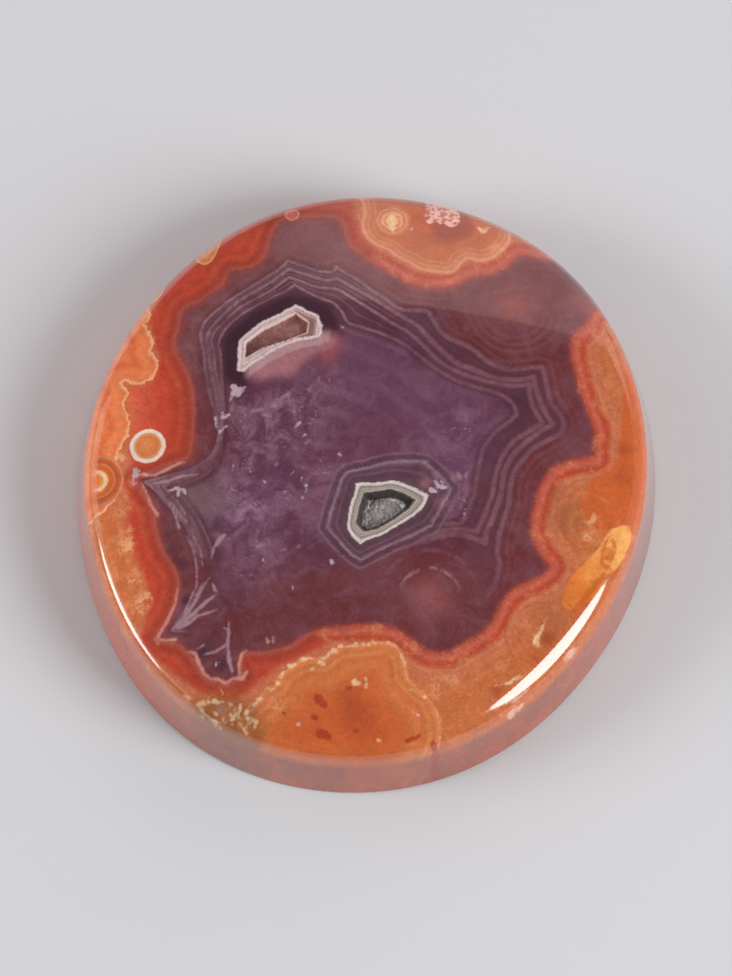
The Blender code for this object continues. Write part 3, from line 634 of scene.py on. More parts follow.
# White quartz: flecks beside the upper hollow, fans of streaks at the left points, and single grains.
keep_field("quartz", strokes([
    (-6.6, 3.9, 0.34, -6.4, 3.55, 0.44), (-6.4, 3.7, 0.34, -6.0, 3.85, 0.06),
    (-6.65, 3.6, 0.30, -6.8, 3.1, 0.10), (-6.3, 3.75, 0.2, -6.05, 3.65, 0.14),
    (-7.18, 2.85, 0.08, -7.15, 2.2, 0.20), (-7.15, 2.2, 0.20, -6.8, 2.4, 0.16),
    (-6.8, 2.4, 0.16, -6.65, 2.9, 0.05), (-7.5, 2.3, 0.08, -7.47, 1.85, 0.14),
    (-7.47, 1.85, 0.14, -7.32, 1.45, 0.10), (-7.32, 1.45, 0.14, -7.1, 1.7, 0.18),
    (-7.1, 1.7, 0.18, -6.95, 1.75, 0.16), (-3.55, 1.55, 0.06, -3.35, 1.8, 0.20),
    (-3.25, 1.0, 0.05, -3.0, 1.15, 0.16), (-3.75, -0.95, 0.05, -3.6, -0.75, 0.12),
    (-3.0, -1.5, 0.16, -3.0, -1.9, 0.10), (-3.15, -2.15, 0.12, -3.25, -2.3, 0.04),
    (-3.25, -1.3, 0.05, -3.2, -1.1, 0.14), (-11.5, -0.22, 0.22, -11.5, -0.55, 0.34),
    (-11.5, -0.3, 0.2, -11.3, -0.35, 0.10), (-11.62, -0.78, 0.12, -11.58, -1.02, 0.16),
    (-11.58, -1.02, 0.16, -11.45, -0.98, 0.12), (-11.2, -0.5, 0.06, -10.9, -0.55, 0.14),
    (-9.85, -1.48, 0.12, -9.35, -1.4, 0.20), (-9.35, -1.4, 0.16, -9.05, -1.5, 0.20),
    (-9.05, -1.5, 0.2, -8.95, -1.8, 0.10), (-9.3, -1.5, 0.1, -9.35, -1.75, 0.16),
    (-1.8, -5.35, 0.08, -1.7, -5.55, 0.18), (-3.68, -6.65, 0.06, -3.6, -6.8, 0.12),
    (-7.4, -10.35, 0.10, -7.4, -10.6, 0.16), (-7.3, -10.35, 0.10, -7.22, -10.5, 0.06),
    (-3.4, -13.5, 0.2, -3.3, -13.5, 0.22), (2.27, 12.66, 0.12, 2.3, 12.78, 0.14),
    (2.3, -12.88, 0.12, 2.35, -12.9, 0.12), (2.5, -13.0, 0.12, 2.6, -13.05, 0.12),
    (0.95, -12.5, 0.10, 1.0, -12.5, 0.10), (-1.25, 7.05, 0.10, -1.18, 7.0, 0.14),
    (3.2, -1.75, 0.30, 3.5, -1.85, 0.16), (3.4, -1.3, 0.14, 3.6, -1.6, 0.26),
    (3.6, -1.6, 0.26, 3.95, -1.6, 0.14), (3.7, -1.25, 0.16, 3.85, -1.45, 0.10),
    (-5.1, -5.3, 0.16, -5.05, -5.35, 0.14), (-5.1, -1.25, 0.12, -5.05, -1.3, 0.14),
    (-6.65, -0.35, 0.14, -6.6, -0.4, 0.10), (-5.25, 3.95, 0.10, -5.2, 3.9, 0.10),
    (-1.35, 0.1, 0.12, -1.3, 0.0, 0.10), (1.45, -4.95, 0.12, 1.5, -4.95, 0.12),
    (0.85, -5.8, 0.12, 0.9, -5.8, 0.10)]))
keep_field("blush_flecks", strokes([
    (3.3, -0.85, 0.10, 3.5, -1.1, 0.30), (4.25, -0.85, 0.10, 4.3, -1.15, 0.30),
    (4.55, -0.9, 0.2, 4.6, -1.1, 0.2), (4.95, -0.8, 0.05, 4.95, -1.05, 0.12),
    (2.5, 0.15, 0.05, 2.6, 0.1, 0.12), (2.8, -0.35, 0.05, 3.0, -0.25, 0.12),
    (-4.3, 3.0, 0.05, -4.05, 3.3, 0.16), (-3.9, 3.3, 0.10, -3.8, 3.45, 0.06),
    (-2.9, 3.6, 0.14, -2.7, 3.8, 0.06), (-2.4, 4.1, 0.12, -2.3, 4.3, 0.05),
    (-4.6, 2.8, 0.12, -4.5, 2.75, 0.10), (-5.7, 2.5, 0.14, -5.2, 2.6, 0.10),
    (-5.2, 2.3, 0.12, -4.8, 2.2, 0.06), (-3.0, 0.7, 0.10, -2.8, 0.85, 0.05),
    (-4.2, -4.85, 0.10, -4.0, -4.8, 0.06), (-3.4, -4.7, 0.12, -3.3, -4.65, 0.10),
    (-5.4, -4.6, 0.16, -5.1, -4.5, 0.06), (-4.5, -0.4, 0.10, -4.4, -0.3, 0.05)]))
keep_field("streaks", strokes([
    (-9.62, -8.66, 0.06, -9.1, -8.2, 0.22), (-9.1, -8.2, 0.22, -8.6, -7.5, 0.16),
    (-8.6, -7.5, 0.16, -8.1, -6.6, 0.12), (-8.1, -6.6, 0.12, -7.75, -6.1, 0.04),
    (-9.2, -8.4, 0.22, -8.5, -7.85, 0.20), (-8.5, -7.85, 0.2, -7.9, -7.3, 0.16),
    (-7.9, -7.3, 0.16, -7.35, -6.95, 0.05), (-9.3, -8.6, 0.10, -8.8, -8.35, 0.2),
    (-8.8, -8.35, 0.14, -8.3, -8.0, 0.10), (-8.35, -8.0, 0.10, -7.9, -7.9, 0.16),
    (-7.9, -7.9, 0.16, -7.4, -7.75, 0.06), (-9.0, -7.9, 0.12, -8.7, -7.1, 0.08),
    (-8.7, -7.1, 0.08, -8.4, -6.5, 0.06), (-8.4, -7.0, 0.14, -8.1, -6.4, 0.06),
    (-7.65, -6.3, 0.06, -7.5, -6.75, 0.16), (-7.5, -6.75, 0.16, -7.35, -6.9, 0.05),
    (-7.7, -5.15, 0.06, -7.55, -4.6, 0.14), (-7.55, -4.6, 0.14, -7.2, -4.1, 0.3),
    (-7.2, -4.1, 0.3, -7.0, -3.95, 0.1), (-7.1, -8.65, 0.06, -6.85, -8.75, 0.14),
    (-6.8, -8.4, 0.05, -6.8, -8.9, 0.16), (-6.8, -8.9, 0.16, -6.85, -9.6, 0.12),
    (-6.85, -9.6, 0.14, -6.75, -10.4, 0.2), (-6.75, -10.4, 0.2, -6.6, -10.9, 0.1),
    (-6.95, -9.55, 0.12, -7.5, -9.85, 0.16), (-7.5, -9.85, 0.16, -8.0, -9.95, 0.10),
    (-8.35, -9.65, 0.05, -8.05, -9.5, 0.14), (-9.85, -2.1, 0.05, -9.5, -2.8, 0.12),
    (-9.5, -2.8, 0.12, -9.3, -3.45, 0.16), (-9.7, -2.1, 0.05, -9.2, -2.9, 0.10),
    (-9.2, -2.9, 0.10, -8.9, -3.2, 0.05), (-9.4, -2.0, 0.04, -9.0, -2.8, 0.08),
    (-8.9, -3.9, 0.04, -8.55, -4.7, 0.08), (-8.55, -4.7, 0.08, -8.4, -5.6, 0.08),
    (-8.4, -5.6, 0.08, -8.4, -6.4, 0.08), (-8.6, -3.9, 0.04, -8.2, -4.7, 0.08),
    (-8.2, -4.7, 0.08, -8.1, -5.5, 0.06), (-10.7, -1.05, 0.05, -9.9, -1.0, 0.14),
    (-9.9, -1.0, 0.14, -9.2, -0.78, 0.16), (-9.2, -0.78, 0.16, -8.4, -0.72, 0.08)]))
# Pink and cream lines where the heart's points cut into the red ground.
keep_field("pink_lines", strokes([
    (-11.2, -0.6, 0.06, -10.5, -0.62, 0.16), (-10.5, -0.62, 0.14, -9.8, -0.3, 0.16),
    (-9.8, -0.3, 0.14, -9.3, -0.08, 0.14), (-9.3, -0.08, 0.12, -9.0, -0.05, 0.06),
    (-11.2, -0.95, 0.05, -10.95, -1.5, 0.14), (-10.95, -1.5, 0.10, -10.7, -2.2, 0.14),
    (-10.7, -2.2, 0.12, -10.4, -2.65, 0.18), (-10.4, -2.65, 0.16, -10.38, -2.8, 0.08),
    (-8.75, -9.8, 0.10, -8.45, -9.9, 0.18), (-8.45, -9.9, 0.18, -8.3, -10.3, 0.17),
    (-8.3, -10.3, 0.14, -8.0, -10.9, 0.16), (-8.0, -10.9, 0.14, -7.67, -11.17, 0.16),
    (-7.67, -11.17, 0.12, -7.33, -11.2, 0.18), (-7.33, -11.2, 0.12, -6.92, -11.42, 0.16),
    (-6.92, -11.42, 0.14, -6.55, -11.2, 0.12), (-6.55, -11.2, 0.12, -6.1, -11.2, 0.20),
    (-6.1, -11.2, 0.18, -5.9, -10.9, 0.10), (-6.25, -11.0, 0.12, -6.3, -10.5, 0.18),
    (-6.3, -10.5, 0.16, -6.15, -10.0, 0.12), (-6.15, -10.0, 0.12, -5.9, -9.85, 0.06),
    (-9.35, -6.6, 0.05, -9.45, -7.3, 0.12), (-9.45, -7.3, 0.12, -9.8, -8.1, 0.14),
    (-9.8, -8.1, 0.14, -10.15, -8.7, 0.12), (-10.15, -8.7, 0.14, -10.35, -9.05, 0.14),
    (-10.3, -9.05, 0.14, -9.9, -9.15, 0.12), (-9.9, -9.15, 0.10, -9.4, -9.12, 0.14),
    (-10.5, -9.0, 0.06, -10.3, -9.3, 0.10), (-4.95, -9.2, 0.06, -4.85, -9.45, 0.14),
    (-4.6, -9.2, 0.06, -4.6, -9.5, 0.14)]))
keep_field("cream_marks", strokes([
    (8.3, -9.3, 0.14, 8.4, -9.0, 0.22), (8.4, -9.0, 0.22, 8.65, -8.6, 0.16),
    (8.65, -8.6, 0.16, 8.85, -8.1, 0.10), (8.85, -8.1, 0.10, 8.95, -7.95, 0.05),
    (8.45, -9.35, 0.2, 8.5, -9.4, 0.1), (6.3, -11.5, 0.05, 7.1, -11.3, 0.16),
    (7.1, -11.3, 0.16, 7.7, -10.9, 0.10), (-0.6, -11.5, 0.30, -0.4, -11.55, 0.20),
    (0.0, -11.3, 0.14, 0.0, -11.75, 0.08), (-3.75, -10.65, 0.22, -3.55, -10.6, 0.16),
    (-2.3, -10.5, 0.26, -2.15, -10.6, 0.16), (-3.1, -10.35, 0.2, -2.9, -10.3, 0.1),
    (-1.65, -9.85, 0.10, -1.5, -10.0, 0.2), (-4.35, -11.5, 0.2, -4.3, -11.45, 0.14),
    (-5.25, -12.3, 0.24, -5.1, -12.3, 0.14), (-2.7, -10.85, 0.14, -2.6, -10.8, 0.10),
    (5.6, 13.0, 0.10, 5.85, 12.7, 0.28), (5.85, 12.7, 0.28, 6.3, 12.95, 0.08),
    (1.25, 13.45, 0.3, 1.3, 12.7, 0.22), (1.3, 12.7, 0.2, 1.35, 12.5, 0.08),
    (0.15, -9.6, 0.14, 0.1, -9.75, 0.08), (1.7, -10.1, 0.08, 1.9, -10.6, 0.12),
    (0.6, -14.3, 0.14, 0.7, -14.35, 0.1), (2.2, -11.8, 0.06, 2.9, -12.2, 0.12)]))
keep_field("red_flecks", strokes([
    (-2.4, -12.25, 0.38, -2.1, -12.6, 0.40), (-2.6, -13.15, 0.24, -2.5, -13.25, 0.24),
    (-2.4, -13.95, 0.30, -1.9, -14.1, 0.42), (-1.9, -14.1, 0.42, -1.75, -14.3, 0.16),
    (-1.0, -11.85, 0.14, -0.8, -11.8, 0.20), (2.1, -14.3, 0.26, 2.6, -14.05, 0.22),
    (-0.6, -13.8, 0.14, -0.45, -13.8, 0.14), (3.3, -14.3, 0.30, 3.6, -14.9, 0.36),
    (3.6, -14.9, 0.36, 3.95, -15.6, 0.42), (-4.1, -13.0, 0.12, -4.05, -13.0, 0.12)]))
keep_field("olive_curls", strokes([
    (-8.25, -12.4, 0.14, -7.8, -12.22, 0.30), (-7.8, -12.22, 0.26, -7.4, -12.32, 0.14),
    (-8.2, -12.45, 0.10, -8.0, -12.85, 0.12), (-8.0, -12.85, 0.12, -7.5, -13.15, 0.10),
    (-7.5, -13.15, 0.10, -7.1, -13.45, 0.08), (-7.35, -12.38, 0.08, -6.9, -12.35, 0.10),
    (-6.9, -12.35, 0.10, -6.52, -12.6, 0.14), (-6.52, -12.6, 0.14, -6.45, -13.0, 0.12),
    (-6.45, -13.0, 0.12, -6.7, -13.3, 0.08), (-6.75, -12.55, 0.05, -6.7, -12.95, 0.10),
    (-7.0, -13.2, 0.16, -6.6, -13.45, 0.08), (-6.2, -12.45, 0.06, -6.3, -13.1, 0.08),
    (-5.95, -12.95, 0.16, -5.78, -12.65, 0.16), (-5.95, -13.0, 0.08, -5.75, -13.35, 0.14),
    (-5.75, -13.35, 0.14, -5.95, -13.7, 0.12), (-5.7, -13.15, 0.08, -5.42, -13.35, 0.10),
    (-5.42, -13.35, 0.10, -5.5, -13.65, 0.10), (-7.25, -11.65, 0.05, -7.1, -11.95, 0.12),
    (-6.3, -13.35, 0.06, -5.9, -13.9, 0.10), (-7.6, -12.75, 0.06, -7.3, -13.0, 0.08),
    (-9.0, -11.9, 0.05, -8.7, -12.1, 0.10), (-5.2, -12.45, 0.12, -5.05, -12.3, 0.08),
    (-4.75, -11.85, 0.05, -4.5, -11.75, 0.10)]))
# Painted reflections: a pale pink blob and streaks of reflected light at the right front edge, below the
# bright strip.
keep_field("painted_edge_reflections", strokes([
    (10.5, -9.25, 0.12, 10.15, -9.6, 0.34), (10.15, -9.6, 0.34, 9.9, -9.9, 0.16),
    (8.1, -11.5, 0.10, 7.5, -11.95, 0.24), (7.5, -11.95, 0.24, 6.95, -12.25, 0.12),
    (7.8, -12.15, 0.14, 7.2, -12.7, 0.26)]))
keep_field("amber_curls", strokes([
    (12.0, -3.7, 0.12, 11.75, -4.4, 0.18), (11.75, -4.4, 0.18, 11.7, -5.05, 0.22),
    (11.7, -5.05, 0.20, 12.0, -5.25, 0.24), (12.2, -3.6, 0.10, 12.32, -4.3, 0.16),
    (12.32, -4.3, 0.16, 12.15, -5.0, 0.20), (12.05, -4.3, 0.12, 12.0, -4.8, 0.18),
    (12.6, -5.3, 0.10, 11.6, -5.9, 0.30), (11.6, -5.9, 0.30, 10.8, -6.9, 0.34),
    (10.8, -6.9, 0.30, 10.3, -7.5, 0.2), (11.9, -5.5, 0.10, 11.2, -6.1, 0.20)]))


class Paint:
    """A stone or crystal material as it is built up. Nearly every method adds a step and gives its output."""

    def __init__(self, name):
        self.material = bpy.data.materials.new(name)
        self.material.use_nodes = True
        self.tree = self.material.node_tree
        self.shader = self.tree.nodes["Principled BSDF"]
        self.place = self.tree.nodes.new("ShaderNodeTexCoord").outputs["Object"]

    def add(self, kind, *given, **settings):
        """A node with these settings, whose first inputs take the given numbers, colours or outputs."""
        node = self.tree.nodes.new(kind)
        for name, value in settings.items():
            setattr(node, name, value)
        for socket, value in zip([entry for entry in node.inputs if entry.enabled], given):
            self.put(socket, value)
        return node

    def put(self, socket, value):
        """Links a socket to an output, or gives it a plain value; None leaves it as it is."""
        if isinstance(value, bpy.types.NodeSocket):
            self.tree.links.new(value, socket)
        elif value is not None:
            socket.default_value = value

    def field(self, name):
        """A number kept on the mesh."""
        return self.add("ShaderNodeAttribute", attribute_name=name).outputs["Fac"]

    def sum(self, operation, first, second=0.0, third=0.0):
        """One step of arithmetic, by its name."""
        return self.add("ShaderNodeMath", first, second, third, operation=operation).outputs["Value"]

    def scaled(self, value, factor, added):
        """value * factor + added."""
        return self.sum("MULTIPLY_ADD", value, factor, added)

    def rest(self, mask):
        """What a mask leaves over: 1 - mask."""
        return self.sum("SUBTRACT", 1.0, mask)

    def along(self, axis):
        """How far a place lies from the stone's middle along an axis, in metres."""
        return self.add("ShaderNodeSeparateXYZ", self.place).outputs[axis]

    def away(self, x, y, noise, wobble):
        """The distance in plan millimetres from the point (x, y), plus noise * wobble."""
        flat = self.add("ShaderNodeVectorMath", self.place, (1 / MM, 1 / MM, 0), operation="MULTIPLY")
        gap = self.add("ShaderNodeVectorMath", flat.outputs["Vector"], (x, y, 0), operation="DISTANCE")
        return self.scaled(noise, wobble, gap.outputs["Value"])

    def times(self, *factors):
        """The product of two or more masks."""
        product = factors[0]
        for factor in factors[1:]:
            product = self.sum("MULTIPLY", product, factor)
        return product

    def mottle(self, size, detail=2.0, roughness=0.5, distortion=0.0):
        """Soft noise from 0 to 1 whose lumps are about this many millimetres across."""
        node = self.add("ShaderNodeTexNoise")
        self.put(node.inputs["Vector"], self.place)
        node.inputs["Scale"].default_value = 1 / (size * MM)
        node.inputs["Detail"].default_value = detail
        node.inputs["Roughness"].default_value = roughness
        node.inputs["Distortion"].default_value = distortion
        return node.outputs["Fac"]

    def wobbled(self, name, noise, amount):
        """A kept number moved by noise that runs about zero."""
        return self.scaled(noise, amount, self.field(name))

    def step(self, value, low, high):
        """0 below low, 1 above high and smooth between. Low may be the greater one."""
        node = self.add("ShaderNodeMapRange", value, low, high, interpolation_type="SMOOTHSTEP")
        return node.outputs["Result"]

    def ramp(self, value, stops):
        """Colours along a value, straight between stops, each (value, red, green, blue)."""
        low, high = stops[0][0], stops[-1][0]
        share = self.add("ShaderNodeMapRange", value, low, high).outputs["Result"]
        node = self.add("ShaderNodeValToRGB", share)
        elements = node.color_ramp.elements
        while len(elements) < len(stops):
            elements.new(0.5)
        for element, (at, *seen) in zip(elements, stops):
            element.position = (at - low) / (high - low)
            element.color = body_colour(*seen)
        return node.outputs["Color"]

    def over(self, under, colour, mask, strength=1.0):
        """The colour laid over what is under it, as far as the mask says, times the strength."""
        under, colour = (body_colour(*each) if isinstance(each, tuple) else each for each in (under, colour))
        node = self.add("ShaderNodeMix", data_type="RGBA")
        self.put(node.inputs["Factor"], mask if strength == 1.0 else self.sum("MULTIPLY", mask, strength))
        self.put(node.inputs["A"], under)
        self.put(node.inputs["B"], colour)
        return node.outputs["Result"]

    def wash(self, under, name, colour, low, high, strength):
        """A colour laid over what is under it where a kept number goes from low to high."""
        return self.over(under, colour, self.step(self.field(name), low, high), strength)

    def band(self, value, half_width, softness):
        """1 where a signed distance is within the half width of zero, falling to 0 over the softness."""
        return self.step(self.sum("ABSOLUTE", value), half_width + softness / 2, half_width - softness / 2)


# How much lighter a colour is painted than it is seen, the veil that reflections lay over it, how dark and
# how light it may be, and the refractive index of quartz.
PAINT_GAIN = 1.15
PAINT_VEIL = 0.012
PAINT_LIMITS = (0.002, 0.95)
QUARTZ_IOR = 1.54


def body_colour(red, green, blue):
    """The stone's own colour for one seen through its polish: seen * gain - veil, in linear numbers."""
    seen = np.array(linear(red, green, blue)[:3])
    return (*np.clip(seen * PAINT_GAIN - PAINT_VEIL, *PAINT_LIMITS), 1.0)


agate = Paint("banded_agate")
coarse_wave = agate.sum("SUBTRACT", agate.mottle(1.6, 3), 0.5)
fine_wave = agate.sum("SUBTRACT", agate.mottle(0.35, 2), 0.5)
sugar_wave = agate.sum("SUBTRACT", agate.mottle(0.13, 2, 0.6), 0.5)
grain = agate.mottle(0.15, 2, 0.65)
fine_grain = agate.mottle(0.075, 1, 0.5)
wave = agate.scaled(coarse_wave, 0.20, agate.sum("MULTIPLY", fine_wave, 0.12))
into_red = agate.scaled(agate.field("red_edge"), -1.0, wave)

# The orange ground: bands along the heart's edge, then tan and red clouds, a bright yellow-orange patch that
# is painted light, a glow shining through the stone, and cream-edged lobes.
rim_ground = agate.ramp(into_red, [
    (0.0, 150, 64, 54), (0.10, 168, 76, 60), (0.24, 182, 86, 66), (0.38, 190, 94, 76), (0.54, 180, 78, 56),
    (0.66, 176, 68, 42), (0.80, 184, 88, 60), (0.98, 194, 114, 84), (1.14, 188, 104, 70),
    (1.35, 192, 110, 74), (1.60, 188, 102, 62), (1.85, 194, 110, 68), (2.1, 188, 102, 60),
    (3.0, 192, 106, 62)])
ember_ground = agate.ramp(into_red, [
    (0.0, 142, 62, 56), (0.12, 166, 80, 70), (0.26, 162, 70, 56), (0.42, 160, 58, 42), (0.60, 170, 64, 46),
    (0.80, 184, 72, 52), (1.05, 178, 62, 42), (1.4, 188, 70, 49), (1.8, 188, 68, 48), (2.4, 196, 80, 58),
    (3.2, 206, 98, 68)])
in_ember = agate.step(agate.sum("ADD", agate.field("ember"), wave), -0.25, 0.25)
orange = agate.over(rim_ground, ember_ground, in_ember)
out_of_ember = agate.rest(agate.times(in_ember, 0.8))
tan_cloud = agate.times(agate.step(agate.mottle(0.9, 5, 0.65), 0.50, 0.70), out_of_ember)
orange = agate.over(orange, (214, 138, 92), tan_cloud, 0.5)
red_cloud = agate.step(agate.mottle(1.7, 3, 0.6, 0.4), 0.55, 0.8)
orange = agate.over(orange, (176, 64, 36), red_cloud, 0.35)
small_cloud = agate.step(agate.mottle(0.3, 3, 0.6), 0.52, 0.70)
orange = agate.over(orange, (222, 138, 92), agate.times(small_cloud, out_of_ember), 0.22)
bright_side = agate.step(agate.wobbled("bright_side", coarse_wave, 0.3), -0.08, 0.08)
bright_orange = agate.over((204, 100, 46), (190, 84, 38), agate.mottle(0.9, 3))
orange = agate.over(orange, bright_orange, bright_side, 0.8)
LOBE_BANDS = [
    (-0.16, 196, 92, 66), (-0.05, 214, 136, 104), (0.05, 216, 148, 110), (0.16, 200, 116, 78),
    (0.30, 206, 128, 86), (0.42, 192, 106, 64), (0.55, 202, 122, 80), (0.7, 188, 100, 60),
    (1.2, 192, 102, 60), (2.4, 186, 88, 50)]
far_lobe = agate.wobbled("far_lobe", wave, 0.8)
orange = agate.over(orange, agate.ramp(far_lobe, LOBE_BANDS), agate.step(far_lobe, -0.16, -0.04))
near_lobe = agate.wobbled("near_lobe", wave, 1.1)
near_colour = agate.ramp(near_lobe, [
    (-0.10, 196, 84, 50), (0.0, 214, 132, 86), (0.12, 208, 124, 76), (0.34, 200, 112, 64),
    (0.52, 208, 126, 76), (0.70, 198, 106, 58), (1.1, 204, 116, 66), (1.6, 196, 100, 54),
    (2.6, 194, 92, 46)])
orange = agate.over(orange, near_colour, agate.step(near_lobe, -0.10, 0.02))
from_right = agate.step(agate.along("X"), 2.0 * MM, 0.2 * MM)
stippled = agate.times(agate.band(near_lobe, 0.10, 0.12), agate.step(agate.mottle(0.28, 2), 0.46, 0.60),
                       agate.scaled(from_right, 0.7, 0.3))
orange = agate.over(orange, (228, 186, 146), stippled, 0.75)
scallop = agate.scaled(fine_wave, 0.35, agate.wobbled("scalloped", wave, 0.8))
scallop_colour = agate.ramp(scallop, [
    (-0.08, 206, 92, 60), (-0.01, 228, 170, 132), (0.06, 222, 150, 106), (0.16, 212, 114, 68),
    (0.5, 222, 126, 78), (0.9, 210, 102, 58), (1.4, 222, 130, 86), (2.0, 214, 110, 64)])
orange = agate.over(orange, scallop_colour, agate.step(scallop, -0.08, -0.02))
patch_edge = agate.wobbled("edge_patches", wave, 0.6)
patch_colour = agate.ramp(patch_edge, [
    (-0.05, 214, 130, 84), (0.04, 226, 160, 112), (0.14, 206, 122, 70), (0.4, 212, 140, 92)])
upper_part = agate.step(agate.scaled(coarse_wave, 1.2, agate.field("height")), 1.9, 2.5)
orange = agate.over(orange, patch_colour, agate.times(agate.step(patch_edge, -0.05, 0.0), upper_part))
cream_cloud = agate.times(agate.field("cream_clouds"), agate.step(agate.mottle(0.35, 4, 0.65), 0.36, 0.60))
orange = agate.over(orange, (222, 156, 112), agate.step(cream_cloud, 0.05, 0.8), 0.9)
burnt = agate.step(agate.sum("ADD", agate.field("burnt"), wave), 0.2, 1.0)
orange = agate.over(orange, (152, 62, 40), burnt, 0.7)
# Painted light: a bright yellow-orange glow shining through the stone near the right edge, darker at its
# lower end.
painted_glow = agate.wobbled("painted_glow", fine_wave, 0.10)
painted_glow_end = agate.step(agate.along("Y"), -4.6 * MM, -7.0 * MM)
painted_glow_colour = agate.over((246, 166, 92), (228, 134, 60), agate.step(agate.mottle(1.2, 3), 0.4, 0.65))
painted_glow_colour = agate.over(painted_glow_colour, (206, 106, 42), painted_glow_end, 0.8)
orange = agate.over(orange, painted_glow_colour, agate.step(painted_glow, -0.04, 0.06))
amber_curl = agate.step(agate.wobbled("amber_curls", fine_wave, 0.30), -0.10, 0.08)
orange = agate.over(orange, (190, 92, 34), amber_curl, 0.8)
orange = agate.wash(orange, "tan_wash", (160, 92, 60), 0.1, 1.0, 0.65)
dark_patch = agate.wobbled("dark", coarse_wave, 0.5)
orange = agate.over(orange, (158, 74, 58), agate.step(dark_patch, -0.2, 0.25), 0.75)
olive = agate.wobbled("olive", coarse_wave, 1.4)
olive_ground = agate.over((158, 88, 42), (134, 88, 54), agate.step(agate.mottle(0.6, 3, 0.6), 0.40, 0.66))
orange = agate.over(orange, olive_ground, agate.step(olive, -0.45, 0.5), 0.8)
orange = agate.wash(orange, "grey_wash", (150, 114, 98), 0.2, 1.0, 0.6)
curl = agate.step(agate.wobbled("olive_curls", fine_wave, 0.30), -0.07, 0.06)
curl = agate.times(curl, agate.step(agate.mottle(0.35, 2), 0.32, 0.56))
orange = agate.over(orange, (214, 180, 144), curl, 0.8)
# The wall below the shoulder is painted darker, as painted shade: lighter towards the left, darkest at the
# far right.
above_wall = agate.step(agate.field("height"), 2.6, 3.4)
painted_wall_shade = agate.over((156, 68, 52), (124, 58, 54), agate.step(agate.mottle(1.8, 4, 0.6), 0.38, 0.62))
sideways = agate.along("X")
painted_wall_shade = agate.over(painted_wall_shade, (196, 96, 82), agate.step(sideways, -7.0 * MM, -12.5 * MM), 0.6)
painted_wall_shade = agate.over(painted_wall_shade, (76, 34, 28), agate.step(sideways, 12.3 * MM, 14.3 * MM), 0.75)
orange = agate.over(orange, painted_wall_shade, agate.rest(above_wall), 0.7)
# Painted reflections, pale pink, at the right front edge.
painted_reflection_mark = agate.step(agate.wobbled("painted_edge_reflections", fine_wave, 0.35), -0.06, 0.06)
orange = agate.over(orange, (226, 178, 160), painted_reflection_mark, 0.75)

# The heart: bands beside its edge, fine pale lines, and a clouded middle that goes from violet to maroon.
into_heart = agate.sum("MULTIPLY", into_red, -1.0)
purple = agate.ramp(into_heart, [
    (0.0, 142, 64, 58), (0.14, 130, 58, 56), (0.30, 116, 52, 54), (0.46, 106, 50, 54), (0.60, 112, 56, 60),
    (0.76, 102, 44, 48), (1.0, 106, 50, 54), (1.3, 96, 44, 50), (1.7, 96, 48, 58), (2.4, 94, 50, 68)])
violet = agate.step(agate.field("violet"), 0.1, 1.0)
purple = agate.over(purple, (100, 62, 88), violet, 0.75)
purple = agate.wash(purple, "rosy", (100, 56, 74), 0.1, 0.9, 0.7)
purple = agate.wash(purple, "maroon", (104, 46, 48), 0.1, 0.9, 0.9)
inner_depth = agate.wobbled("line_4", coarse_wave, 0.5)
inner_wave = agate.sum("SINE", agate.sum("MULTIPLY", inner_depth, 2 * math.pi / 1.15))
broad_bands = agate.times(agate.step(inner_wave, -0.2, 0.9), agate.step(agate.mottle(3.0, 2), 0.35, 0.65))
broad_bands = agate.times(broad_bands, agate.step(inner_depth, 0.1, 0.5))
purple = agate.over(purple, (124, 86, 108), broad_bands, 0.5)
purple = agate.wash(purple, "brownish", (134, 84, 84), 0.1, 1.0, 0.7)
purple = agate.over(purple, (146, 74, 66), agate.field("glow"), 0.9)
purple = agate.wash(purple, "grey_cloud", (128, 102, 106), 0.1, 1.0, 0.55)
clouded = agate.step(agate.mottle(1.1, 6, 0.7, 0.8), 0.40, 0.70)
cloud = agate.times(clouded, agate.sum("ADD", agate.field("pale_cloud"), 0.22))
purple = agate.over(purple, (150, 112, 132), cloud, 0.9)
haze_cloud = agate.step(agate.mottle(3.2, 3, 0.6), 0.40, 0.75)
purple = agate.over(purple, (122, 78, 92), haze_cloud, 0.4)
purple = agate.wash(purple, "night", (60, 30, 44), 0.08, 0.85, 0.8)
by_hollow = agate.times(agate.step(agate.wobbled("upper_rim", coarse_wave, 0.4), -1.25, -0.55),
                        agate.step(agate.field("line_4"), -0.05, 0.15),
                        agate.step(agate.field("blush"), 0.35, 0.05))
purple = agate.over(purple, (60, 30, 44), by_hollow, 0.92)
purple = agate.wash(purple, "blush", (168, 110, 120), 0.1, 1.1, 0.8)
purple = agate.wash(purple, "reddish", (156, 80, 86), 0.0, 1.2, 0.7)

# The four fine lines and the fainter ones half-way between them, each softened by sugary grain.
depths = [agate.scaled(wave, 0.35, agate.field(f"line_{number}")) for number in (1, 2, 3, 4)]
halves = [agate.times(agate.sum("ADD", outer, inner), 0.5) for outer, inner in zip(depths, depths[1:])]
shown = agate.rest(agate.field("faint_lines"))
shown = agate.step(shown, 0.05, 0.9)
uneven = agate.scaled(agate.step(agate.mottle(1.3, 4, 0.6), 0.30, 0.62), 0.5, 0.5)
leftward = agate.step(agate.along("X"), 4 * MM, -1 * MM)
uneven = agate.times(uneven, agate.scaled(leftward, 0.35, 0.65))
broken = agate.step(agate.mottle(0.32, 3, 0.7), 0.32, 0.58)
uneven = agate.times(uneven, agate.scaled(broken, 0.5, 0.6))
crowded = agate.step(agate.sum("SUBTRACT", depths[0], depths[3]), 1.1, 0.45)
uneven = agate.times(uneven, agate.scaled(crowded, -0.62, 1.0))
spread = agate.scaled(leftward, 0.32, 0.68)
lit = agate.times(shown, uneven)
